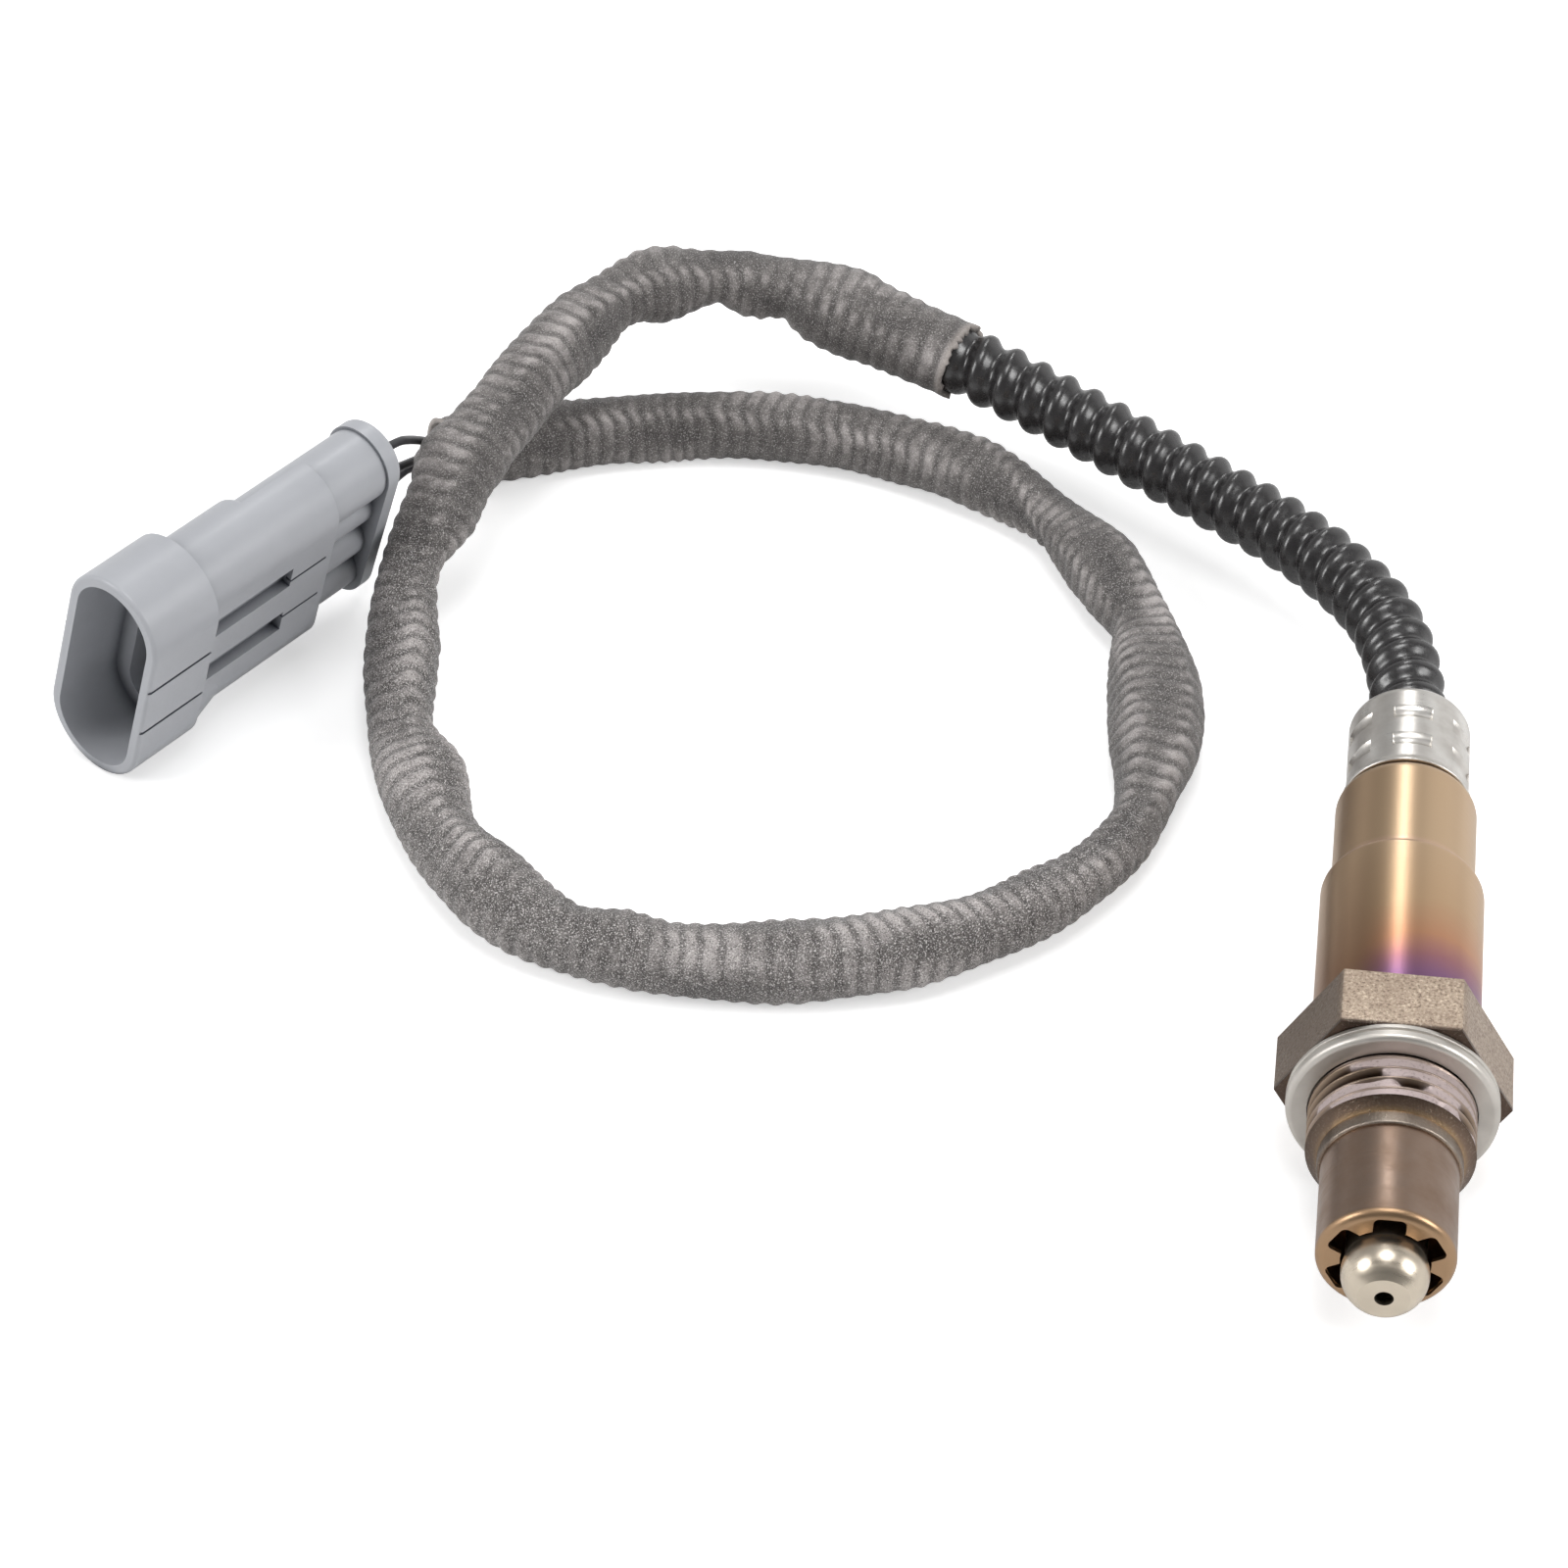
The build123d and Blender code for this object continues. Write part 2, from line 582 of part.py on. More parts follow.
with BuildPart() as wire_2:
    wire_solid(1, 1, 1)

with BuildPart() as wire_3:
    wire_solid(-1, -1, 2)

with BuildPart() as wire_4:
    wire_solid(1, -1, 3)

# ================= Plug =================

with BuildPart() as connector_housing:
    row = CAVITY_PITCH * (CAVITIES[0] - CAVITIES[-1])
    with BuildSketch(on_plug(0)):
        SlotCenterToCenter(row, 2 * SHROUD_R)
    extrude(amount=SHROUD_LENGTH)
    with BuildSketch(on_plug(SHROUD_LENGTH)):
        SlotCenterToCenter(row, 2 * PLUG_BODY_R)
    extrude(amount=PLUG_STEP_Z - SHROUD_LENGTH)
    fillet(connector_housing.edges().filter_by(plug_rim(PLUG_STEP_Z)), 0.8)
    # Behind the step only the front half of the body goes on.
    with BuildSketch(on_plug(PLUG_STEP_Z - 1)):
        SlotCenterToCenter(row, 2 * PLUG_BODY_R)
        with Locations((0, PLUG_BODY_R - LOBE_CUT)):
            Rectangle(row + 3 * PLUG_BODY_R, 2 * PLUG_BODY_R, mode=Mode.INTERSECT)
    extrude(amount=PLUG_BODY_REAR_Z - PLUG_STEP_Z + 1)
    # Gusset that tapers from the shroud to the body under the lowest cavity.
    with BuildSketch(on_plug(SHROUD_LENGTH)):
        with Locations((-row / 2, 0)):
            Circle(SHROUD_R - 0.3)
    with BuildSketch(on_plug(SHROUD_LENGTH + 5)):
        with Locations((-row / 2, 0)):
            Circle(PLUG_BODY_R)
    loft()
    # Rail along the middle of each flank, between two recesses; thin slits go on behind them.
    with BuildSketch(on_plug(SHROUD_LENGTH)):
        with Locations((RAIL_X, 0)):
            with GridLocations(RAIL_WIDTH + RECESS_WIDTH, 2 * PLUG_BODY_R, 2, 2):
                Rectangle(RECESS_WIDTH, 2 * RECESS_DEPTH)
    extrude(amount=RECESS_REAR_Z - SHROUD_LENGTH, mode=Mode.SUBTRACT)
    with BuildSketch(on_plug(RECESS_REAR_Z)):
        with Locations((RAIL_X, PLUG_BODY_R)):
            with GridLocations(RAIL_WIDTH + 2 * SLIT_OFFSET, 0, 2, 1):
                Rectangle(0.4, 1.8)
    extrude(amount=PLUG_BODY_REAR_Z - RECESS_REAR_Z - 1, mode=Mode.SUBTRACT)
    # Four cavity tubes joined by a web, then the rear flange.
    with BuildSketch(on_plug(PLUG_STEP_Z - 1)):
        with GridLocations(CAVITY_PITCH, 0, 4, 1):
            Circle(PLUG_NECK_R)
        with Locations((row / 2, 0)):
            Circle(PLUG_TOP_NECK_R)
        Rectangle(row, 0.9 * PLUG_NECK_R)
    extrude(amount=PLUG_LENGTH - PLUG_STEP_Z)
    with BuildSketch(on_plug(PLUG_FLANGE_Z)):
        with Locations((-row / 2, 0)):
            Circle(PLUG_FLANGE_R)
        with Locations((row / 2, 0)):
            Circle(PLUG_TOP_FLANGE_R)
        make_hull()
    extrude(amount=PLUG_LENGTH - PLUG_FLANGE_Z)
    fillet(connector_housing.edges().filter_by(plug_rim(PLUG_LENGTH)), 0.8)
    fillet(connector_housing.edges().filter_by(plug_rim(0)), 0.5)
    # Grooves beside the rail, on the shroud.
    with BuildSketch(on_plug(0)):
        with GridLocations(1.28 * CAVITY_PITCH, 2 * SHROUD_R, 2, 2):
            Rectangle(0.5, 0.6)
    extrude(amount=SHROUD_LENGTH, mode=Mode.SUBTRACT)
    with BuildSketch(on_plug(0)):
        SlotCenterToCenter(row, 2 * (SHROUD_R - SHROUD_WALL))
    extrude(amount=SHROUD_LENGTH - 1, mode=Mode.SUBTRACT)
    with BuildSketch(on_plug(SHROUD_LENGTH - 1)):
        SlotCenterToCenter(row, 2 * THROAT_R)
    extrude(amount=MOUTH_DEPTH - SHROUD_LENGTH + 1, mode=Mode.SUBTRACT)
    with BuildSketch(on_plug(MOUTH_DEPTH)):
        with GridLocations(CAVITY_PITCH, 0, 4, 1):
            Rectangle(TAB_WIDTH + CLEARANCE, TAB_THICKNESS + CLEARANCE)
    extrude(amount=MOUTH_FLOOR, mode=Mode.SUBTRACT)
    with BuildSketch(on_plug(MOUTH_DEPTH + MOUTH_FLOOR)):
        with GridLocations(CAVITY_PITCH, 0, 4, 1):
            Circle(TERMINAL_CAVITY_R)
    extrude(amount=PLUG_LENGTH - SEAL_BORE_DEPTH - MOUTH_DEPTH - MOUTH_FLOOR, mode=Mode.SUBTRACT)
    with BuildSketch(on_plug(PLUG_LENGTH - SEAL_BORE_DEPTH)):
        with GridLocations(CAVITY_PITCH, 0, 4, 1):
            Circle(SEAL_BORE_R)
    extrude(amount=SEAL_BORE_DEPTH, mode=Mode.SUBTRACT)


def terminal_pin(index):
    """Tab terminal: flat tab in the mouth, box behind the floor, barrel crimped on the wire."""
    box_z = MOUTH_DEPTH + MOUTH_FLOOR
    box_length = 0.6 * TERMINAL_LENGTH
    with Locations(plug_cavity(index, MOUTH_DEPTH - TAB_LENGTH)):
        Box(TAB_WIDTH, TAB_THICKNESS, TAB_LENGTH + MOUTH_FLOOR, align=FROM_BASE)
    with Locations(plug_cavity(index, box_z)):
        Box(TERMINAL_BOX, TERMINAL_BOX, box_length, align=FROM_BASE)
    with Locations(plug_cavity(index, box_z + box_length)):
        Cylinder(TERMINAL_BOX / 2, TERMINAL_LENGTH - box_length, align=FROM_BASE)
    with Locations(plug_cavity(index, WIRE_END_Z)):
        Cylinder(WIRE_R, 5, align=FROM_BASE, mode=Mode.SUBTRACT)


def wire_seal(index):
    """Ribbed rubber seal between one wire and its cavity."""
    rib = (SEAL_BORE_DEPTH - 1) / 5
    for step in range(5):
        with Locations(plug_cavity(index, PLUG_LENGTH - SEAL_BORE_DEPTH + step * rib)):
            Cylinder(SEAL_BORE_R - 0.3 * (step % 2), rib, align=FROM_BASE)
    with Locations(plug_cavity(index, PLUG_LENGTH - SEAL_BORE_DEPTH)):
        Cylinder(WIRE_R, SEAL_BORE_DEPTH, align=FROM_BASE, mode=Mode.SUBTRACT)


with BuildPart() as terminal_pin_1:
    terminal_pin(0)

with BuildPart() as terminal_pin_2:
    terminal_pin(1)

with BuildPart() as terminal_pin_3:
    terminal_pin(2)

with BuildPart() as terminal_pin_4:
    terminal_pin(3)

with BuildPart() as wire_seal_1:
    wire_seal(0)

with BuildPart() as wire_seal_2:
    wire_seal(1)

with BuildPart() as wire_seal_3:
    wire_seal(2)

with BuildPart() as wire_seal_4:
    wire_seal(3)

# ================= Export =================

os.makedirs("parts", exist_ok=True)
for name, piece in {
    "sensor_housing": sensor_housing,
    "sealing_gasket": sealing_gasket,
    "outer_protection_tube": outer_protection_tube,
    "inner_protection_tube": inner_protection_tube,
    "sensing_element": sensing_element,
    "lower_ceramic_bush": lower_ceramic_bush,
    "talc_seal": talc_seal,
    "upper_ceramic_bush": upper_ceramic_bush,
    "clamp_ring": clamp_ring,
    "protective_shell": protective_shell,
    "crimp_collar": crimp_collar,
    "contact_holder_upper": contact_holder_upper,
    "contact_holder_lower": contact_holder_lower,
    "holder_spring_ring": holder_spring_ring,
    "contact_clip_1": contact_clip_1,
    "contact_clip_2": contact_clip_2,
    "contact_clip_3": contact_clip_3,
    "contact_clip_4": contact_clip_4,
    "rubber_grommet": rubber_grommet,
    "corrugated_conduit": corrugated_conduit,
    "braided_sleeve": braided_sleeve,
    "wire_1": wire_1,
    "wire_2": wire_2,
    "wire_3": wire_3,
    "wire_4": wire_4,
    "connector_housing": connector_housing,
    "terminal_pin_1": terminal_pin_1,
    "terminal_pin_2": terminal_pin_2,
    "terminal_pin_3": terminal_pin_3,
    "terminal_pin_4": terminal_pin_4,
    "wire_seal_1": wire_seal_1,
    "wire_seal_2": wire_seal_2,
    "wire_seal_3": wire_seal_3,
    "wire_seal_4": wire_seal_4,
}.items():
    piece.part.label = name
    export_step(piece.part, f"parts/{name}.step")
    solids = piece.part.solids()
    print(name, len(solids), "solid(s)", round(piece.part.volume, 1), "mm3", piece.part.is_valid)

print("cable bends, mm:", [round(r, 1) for r in ROUTE_RADII])
print("wire 1 bends, mm:", [round(r, 1) for r in bend_radii(wire_route(-1, 1, 0), 3.0)])
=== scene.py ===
"""Looks of the four-wire oxygen sensor: its steels, ceramics, plastics, braid and cable.

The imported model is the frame. It is in metres, with the gasket's seat at the origin, the sensing
tip towards -Y, the cable towards +Y and +Z up. The sensor lies on the bench at BENCH_Z.
"""

import json

from math import atan2, cos, pi, radians, sin

import bmesh
import bpy
import numpy as np
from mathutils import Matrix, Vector


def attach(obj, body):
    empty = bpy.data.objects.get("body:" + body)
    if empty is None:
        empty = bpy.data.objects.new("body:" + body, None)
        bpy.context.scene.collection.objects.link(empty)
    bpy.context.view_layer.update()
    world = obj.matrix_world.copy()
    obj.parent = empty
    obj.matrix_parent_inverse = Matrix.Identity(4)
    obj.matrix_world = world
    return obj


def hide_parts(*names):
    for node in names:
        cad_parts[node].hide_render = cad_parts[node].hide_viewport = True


MM = 0.001

# ---- Bench and camera ----
BENCH_Z = -11.4 * MM
CAMERA_PLACE = Vector((-18.8, -360.3, 356.0)) * MM
CAMERA_VIEW = Vector((-0.0966, 0.7457, -0.6593))
LENS_MM = 108.0
FILM_MM = 36.0
OBJECT_MIDDLE = Vector((-70.0, 55.0, 0.0)) * MM

# ---- Room and bench top ----
GLOW_DIRECTION = (0.56, 0.74, 0.36)  # a pale wall that the body's right side mirrors
FLOOR_GREY = 0.84
FLOOR_GLOW = 0.50
FLOOR_HALF_WIDTH = 3.0

# ---- Body ----
THREAD_R = 9.0 * MM
THREAD_PITCH = 1.5 * MM
THREAD_FRONT_Y = -8.2 * MM
THREAD_REAR_Y = -2.4 * MM
THREAD_DEPTH = 0.85 * MM
THREAD_AROUND = 240
THREAD_ROWS = 150
HEXAGON_FLAT_HALF = 6.4 * MM
SHELL_FRONT_Y = 8.0 * MM
SHELL_STEP_Y = 32.6 * MM
SHELL_TINT_END_Y = 33.0 * MM
TUBE_FACE_Y = -23.2 * MM

# ---- Cable, in millimetres: the corners of its route, from the grommet to the sleeve's end ----
CABLE_START_Y = 57.5
CABLE_ROUTE = [
    (0, CABLE_START_Y, 0), (0, 76, 0), (-11, 94, -1.2), (-28, 107.5, -1.8), (-48, 119.5, 0.2),
    (-70, 129.5, 3.8), (-95.5, 132, 7.3), (-109.5, 115, 8), (-118, 92, 4), (-121.5, 72.5, -4.8),
    (-117, 48, -7.2), (-104, 26.5, -7.2), (-84.5, 18, -7.2), (-59.5, 21.5, -7.2),
    (-38.5, 33.5, -7.2), (-28.5, 52.5, -7.2), (-30.5, 79.5, -7.2), (-40.5, 101.5, -7.2),
    (-61, 117, -7.2), (-86, 120.5, -7.2), (-104.5, 116.5, -7.2), (-117, 110.5, -7),
    (-123, 106.4, -6),
]
# The sleeve starts in the middle of the run from corner 4, the conduit ends in that from corner 5.
SLEEVE_START = (-59, 124.5, 2.0)
SLEEVE_ROUTE = [SLEEVE_START, *CABLE_ROUTE[5:]]
CONDUIT_ROUTE = [*CABLE_ROUTE[:6], (-82.75, 130.75, 5.55)]
# Per wire: where it turns out of the sleeve's far end, and where it lines up behind the plug.
WIRE_TURNS = [(-123.2, 106, -4.1), (-124.5, 106, -5.7), (-124.3, 107.6, -7.3), (-124.9, 108.4, -8.6)]
WIRE_FANS = [(-123.2, 93, 6.5), (-123.8, 94, 2.3), (-126.1, 95.4, -0.7), (-128.5, 97, -3.2)]
WIRE_START_Y = 47.1
WIRE_SPREAD = 1.7
BUNDLE_SPREAD = 1.0
WIRE_R = 0.55 * MM
CONDUIT_R = 4.5 * MM
CONDUIT_PITCH = 3.9 * MM
CONDUIT_GROOVE = 0.95 * MM
CONDUIT_AROUND = 40
RINGS_PER_RIDGE = 22
SLEEVE_R = 4.2 * MM
SLEEVE_WALL = 0.6 * MM
SLEEVE_RIB_PITCH = 2.1 * MM
SLEEVE_RIB_DEPTH = 0.22 * MM
SLEEVE_AROUND = 80
RINGS_PER_RIB = 9
# The sleeve's two edges, square to the line of sight: distance along it, then how far its left
# and its right edge lie from its centre line, looking back along it. All in millimetres.
SLEEVE_EDGES = [
    (0, 5.4, 4.7), (6, 5.6, 4.5), (12, 5.6, 5.0), (15, 5.8, 5.8), (18, 5.5, 5.7), (21, 4.8, 5.3),
    (24, 3.0, 4.8), (27, 3.8, 4.5), (30, 3.8, 4.7), (33, 2.5, 4.3), (36, 3.6, 4.2), (39, 4.5, 4.7),
    (42, 4.7, 4.9), (45, 3.6, 4.5), (48, 3.3, 4.2), (54, 4.9, 4.5), (60, 5.9, 4.1), (72, 5.7, 3.8),
    (78, 5.2, 4.8), (81, 5.2, 5.9), (84, 4.7, 5.8), (87, 4.8, 4.8), (90, 4.7, 4.8), (93, 3.7, 4.9),
    (96, 2.4, 4.9), (99, 2.4, 4.9), (105, 3.7, 4.9), (108, 4.4, 4.8), (114, 4.3, 4.7),
    (120, 3.6, 4.4), (123, 3.3, 4.4), (126, 3.9, 4.5), (129, 5.0, 4.6), (132, 5.6, 4.8),
    (135, 5.4, 4.8), (141, 4.1, 4.5), (144, 4.2, 4.5), (150, 5.5, 4.6), (153, 5.5, 4.8),
    (159, 4.5, 4.6), (165, 3.7, 4.2), (171, 4.8, 4.0), (177, 4.1, 4.1), (183, 4.5, 4.3),
    (189, 4.8, 4.6), (204, 4.6, 4.8), (213, 4.3, 4.1), (222, 4.1, 3.8), (228, 3.4, 3.5),
    (240, 2.8, 3.6), (246, 4.2, 4.0), (252, 5.4, 5.1), (258, 5.8, 5.7), (264, 5.6, 5.6),
    (270, 4.6, 5.0), (273, 3.7, 4.7), (276, 3.1, 4.5), (279, 3.9, 4.4), (282, 4.5, 4.6),
    (288, 4.7, 5.0), (294, 4.0, 4.0), (297, 3.2, 3.7), (300, 3.1, 3.6), (306, 3.6, 4.1),
    (312, 4.3, 4.6), (322, 4.7, 3.9), (330, 4.5, 4.3), (339, 4.6, 4.0), (366, 4.9, 4.0),
    (384, 4.6, 4.7),
]
# Its three creases: distance along it in millimetres, where each is round it in degrees, and how
# sharp it is from 0 to 1.
SLEEVE_CREASES = [
    [(0, 155, 0.7), (12, 148, 0.9), (20, 139, 1), (30, 125, 0.8), (60, 122, 1), (90, 108, 1),
     (120, 98, 0.7), (180, 78, 0.8), (230, 98, 0.8), (255, 125, 0.8), (275, 135, 1), (290, 150, 1),
     (300, 160, 0.3), (316, 146, 0.5), (326, 140, 1), (340, 136, 1), (384, 122, 0.8)],
    [(0, 150, 0), (180, 110, 0), (205, 80, 0.3), (230, 58, 0.9), (260, 50, 1), (285, 66, 1), (298, 62, 0)],
    [(288, 195, 0), (292, 190, 1), (297, 172, 1), (302, 124, 1), (306, 100, 1), (312, 74, 1),
     (320, 54, 0.4), (328, 45, 0)],
]
# A crease's marks, in radians round the sleeve: its crest, raised and with a painted highlight, and the
# groove beside it, sunk and with painted shade.
CREST_WIDTH = 0.18
GROOVE_AWAY = 0.60
GROOVE_WIDTH = 0.30
# The stretch that is paler than the rest, between these distances, and how softly it begins.
SLEEVE_PALE_RUN = (95, 232)
PALE_SOFTNESS = 6

# ---- Plug, in millimetres ----
PLUG_MOUTH = Vector((-151.45, 45.99, 4.238))
PLUG_YAW = radians(32.4)
PLUG_ROLL = radians(17.4)
PLUG_LENGTH = 43.4
CAVITY_PITCH = 6.0
CAVITIES = (1.5, 0.5, -0.5, -1.5)
WIRE_END_Z = 29.9


# ================= Small helpers =================


def mesh_piece(name, vertices, faces, material, smooth=True):
    """New mesh piece with one material."""
    mesh = bpy.data.meshes.new(name)
    mesh.from_pydata([tuple(v) for v in vertices], [], faces)
    mesh.polygons.foreach_set("use_smooth", [smooth] * len(mesh.polygons))
    mesh.materials.append(material)
    mesh.update()
    piece = bpy.data.objects.new(name, mesh)
    bpy.context.scene.collection.objects.link(piece)
    return piece


def paint(piece, name, values):
    """Stores one number per vertex, for the piece's material to read."""
    piece.data.attributes.new(name, "FLOAT", "POINT").data.foreach_set("value", list(values))


def ring_faces(rings, around, closed_ends=False):
    """Quads that join rings of vertices into a tube."""
    faces = []
    for i in range(rings - 1):
        for j in range(around):
            a = i * around + j
            b = i * around + (j + 1) % around
            faces.append((a, b, b + around, a + around))
    if closed_ends:
        faces.append(tuple(reversed(range(around))))
        faces.append(tuple(range((rings - 1) * around, rings * around)))
    return faces


def spline_curve(name, points_mm, bevel_r=0.0, material=None):
    """Curve object of one quadratic NURBS spline through a route's control points."""
    curve = bpy.data.curves.new(name, "CURVE")
    curve.dimensions = "3D"
    spline = curve.splines.new("NURBS")
    spline.points.add(len(points_mm) - 1)
    for point, place in zip(spline.points, points_mm):
        point.co = (place[0] * MM, place[1] * MM, place[2] * MM, 1.0)
    spline.order_u = 3
    spline.use_endpoint_u = True
    spline.resolution_u = 24
    curve.bevel_depth = bevel_r
    curve.bevel_resolution = 5
    curve.use_fill_caps = True
    if material:
        curve.materials.append(material)
    piece = bpy.data.objects.new(name, curve)
    bpy.context.scene.collection.objects.link(piece)
    return piece


def points_along(points_mm, step):
    """Evenly spaced points that follow the route's own spline, and their distances along it."""
    guide = spline_curve("route_guide", points_mm)
    bpy.context.view_layer.update()
    mesh = bpy.data.meshes.new_from_object(guide)
    line = np.array([v.co for v in mesh.vertices], float)
    bpy.data.meshes.remove(mesh)
    bpy.data.objects.remove(guide)
    runs = np.r_[0, np.cumsum(np.linalg.norm(np.diff(line, axis=0), axis=1))]
    count = int(runs[-1] / step) + 1
    at = np.linspace(0, runs[-1], count)
    return np.stack([np.interp(at, runs, line[:, k]) for k in range(3)], axis=1), at


def frames_along(line):
    """Sideways and upward unit vectors at each point of a line that lies mostly flat."""
    along = np.gradient(line, axis=0)
    along /= np.linalg.norm(along, axis=1)[:, None]
    side = np.cross(along, (0, 0, 1.0))
    side /= np.linalg.norm(side, axis=1)[:, None]
    return side, np.cross(side, along)


def swept(line, radius, around):
    """Vertices of rings round a line; radius(i, angles) gives sideways and upward offsets."""
    side, up = frames_along(line)
    angles = np.linspace(0, 2 * pi, around, endpoint=False)
    rings = []
    for i in range(len(line)):
        across, upward = radius(i, angles)
        rings.append(line[i] + np.outer(across, side[i]) + np.outer(upward, up[i]))
    return np.concatenate(rings)


def smooth_bump(x):
    """1 at the middle of a bump and 0 past its ends, with no corners."""
    x = np.clip(np.abs(x), 0, 1)
    return 1 - x * x * (3 - 2 * x)


# ================= Shader tools =================


def srgb(red, green, blue):
    """Linear colour from the 0 to 255 values that a screen shows."""
    def linear(value):
        value /= 255
        return value / 12.92 if value <= 0.04045 else ((value + 0.055) / 1.055) ** 2.4
    return (linear(red), linear(green), linear(blue), 1.0)


def grey(value):
    """Linear grey."""
    return (value, value, value, 1.0)


class Nodes:
    """Short way to add and link the nodes of one tree."""

    def __init__(self, tree):
        self.tree = tree

    def add(self, kind, settings=None, **inputs):
        node = self.tree.nodes.new(kind)
        for key, value in (settings or {}).items():
            setattr(node, key, value)
        for key, value in inputs.items():
            self.feed(node.inputs[key.replace("_", " ")], value)
        return node

    def feed(self, socket, value):
        if isinstance(value, bpy.types.NodeSocket):
            self.tree.links.new(value, socket)
        else:
            socket.default_value = value

    def math(self, operation, a, b=0.0, clamp=False):
        node = self.tree.nodes.new("ShaderNodeMath")
        node.operation = operation
        node.use_clamp = clamp
        self.feed(node.inputs[0], a)
        self.feed(node.inputs[1], b)
        return node.outputs[0]

    def mix(self, factor, a, b):
        node = self.tree.nodes.new("ShaderNodeMix")
        node.data_type = "RGBA"
        self.feed(node.inputs["Factor"], factor)
        self.feed(node.inputs[6], a)
        self.feed(node.inputs[7], b)
        return node.outputs[2]

    def ramp(self, value, stops, smooth=True):
        node = self.tree.nodes.new("ShaderNodeValToRGB")
        node.color_ramp.interpolation = "EASE" if smooth else "LINEAR"
        elements = node.color_ramp.elements
        while len(elements) < len(stops):
            elements.new(0.5)
        for element, (place, colour) in zip(elements, stops):
            element.position = place
            element.color = colour
        self.feed(node.inputs[0], value)
        return node.outputs[0]

    def span(self, value, low, high, out_low=0.0, out_high=1.0, smooth=True):
        node = self.tree.nodes.new("ShaderNodeMapRange")
        node.interpolation_type = "SMOOTHSTEP" if smooth else "LINEAR"
        for key, number in (("From Min", low), ("From Max", high), ("To Min", out_low), ("To Max", out_high)):
            node.inputs[key].default_value = number
        self.feed(node.inputs["Value"], value)
        return node.outputs[0]

    def painted(self, name):
        return self.add("ShaderNodeAttribute", {"attribute_name": name}).outputs["Fac"]

    def place_in_room(self):
        return self.tree.nodes.new("ShaderNodeTexCoord").outputs["Generated"]

    def place(self):
        return self.tree.nodes.new("ShaderNodeTexCoord").outputs["Object"]

    def group(self, shared, **inputs):
        node = self.tree.nodes.new("ShaderNodeGroup")
        node.node_tree = shared
        for key, value in inputs.items():
            self.feed(node.inputs[key.replace("_", " ")], value)
        return node.outputs


def shared_effect(name, inputs, outputs):
    """Empty node group with named sockets; returns the tree, its inputs and its output node."""
    tree = bpy.data.node_groups.new(name, "ShaderNodeTree")
    for label, kind, value in inputs:
        socket = tree.interface.new_socket(name=label, in_out="INPUT", socket_type=kind)
        if kind == "NodeSocketFloat":
            socket.default_value = value
    for label, kind in outputs:
        tree.interface.new_socket(name=label, in_out="OUTPUT", socket_type=kind)
    entry = tree.nodes.new("NodeGroupInput")
    leave = tree.nodes.new("NodeGroupOutput")
    return tree, entry.outputs, leave


def fine_grain_effect():
    """Even grain: a height for bumps and a mask of a few brighter grains."""
    tree, given, leave = shared_effect(
        "fine_grain",
        [("Place", "NodeSocketVector", None), ("Grain Size", "NodeSocketFloat", 0.3 * MM)],
        [("Height", "NodeSocketFloat"), ("Mask", "NodeSocketFloat")],
    )
    n = Nodes(tree)
    scale = n.math("DIVIDE", 1.0, given["Grain Size"])
    noise = n.add("ShaderNodeTexNoise", Vector=given["Place"], Scale=scale, Detail=3.0, Roughness=0.65)
    tree.links.new(noise.outputs[0], leave.inputs["Height"])
    tree.links.new(n.span(noise.outputs[0], 0.52, 0.72), leave.inputs["Mask"])
    return tree


def turned_lines_effect():
    """Fine lines round the sensor's axis, as turning and polishing leave them."""
    tree, given, leave = shared_effect(
        "turned_lines",
        [("Place", "NodeSocketVector", None), ("Line Width", "NodeSocketFloat", 0.08 * MM)],
        [("Height", "NodeSocketFloat"), ("Streak", "NodeSocketFloat")],
    )
    n = Nodes(tree)
    parts = n.add("ShaderNodeSeparateXYZ", Vector=given["Place"]).outputs
    angle = n.math("ARCTAN2", parts["X"], parts["Z"])
    along = n.math("DIVIDE", parts["Y"], given["Line Width"])
    spread = n.add("ShaderNodeCombineXYZ", X=n.math("MULTIPLY", angle, 0.4), Y=along)
    noise = n.add("ShaderNodeTexNoise", Vector=spread.outputs[0], Scale=1.0, Detail=2.0, Roughness=0.6)
    wide = n.add("ShaderNodeTexNoise", Vector=spread.outputs[0], Scale=0.3, Detail=2.0)
    tree.links.new(noise.outputs[0], leave.inputs["Height"])
    tree.links.new(wide.outputs[0], leave.inputs["Streak"])
    return tree


def cloud_effect():
    """Soft uneven patches, for tints, smears and worn sheen."""
    tree, given, leave = shared_effect(
        "soft_clouds",
        [("Place", "NodeSocketVector", None), ("Patch Size", "NodeSocketFloat", 5 * MM),
         ("Low", "NodeSocketFloat", 0.4), ("High", "NodeSocketFloat", 0.6)],
        [("Mask", "NodeSocketFloat")],
    )
    n = Nodes(tree)
    scale = n.math("DIVIDE", 1.0, given["Patch Size"])
    noise = n.add("ShaderNodeTexNoise", Vector=given["Place"], Scale=scale, Detail=4.0, Roughness=0.55)
    over = n.math("SUBTRACT", noise.outputs[0], given["Low"])
    mask = n.math("DIVIDE", over, n.math("SUBTRACT", given["High"], given["Low"]), clamp=True)
    tree.links.new(mask, leave.inputs["Mask"])
    return tree


def finish_material(name, **principled):
    """New material; returns it, its node helper and its Principled shader."""
    material = bpy.data.materials.new(name)
    material.use_nodes = True
    tree = material.node_tree
    shader = tree.nodes["Principled BSDF"]
    for key, value in principled.items():
        shader.inputs[key.replace("_", " ")].default_value = value
    return material, Nodes(tree), shader


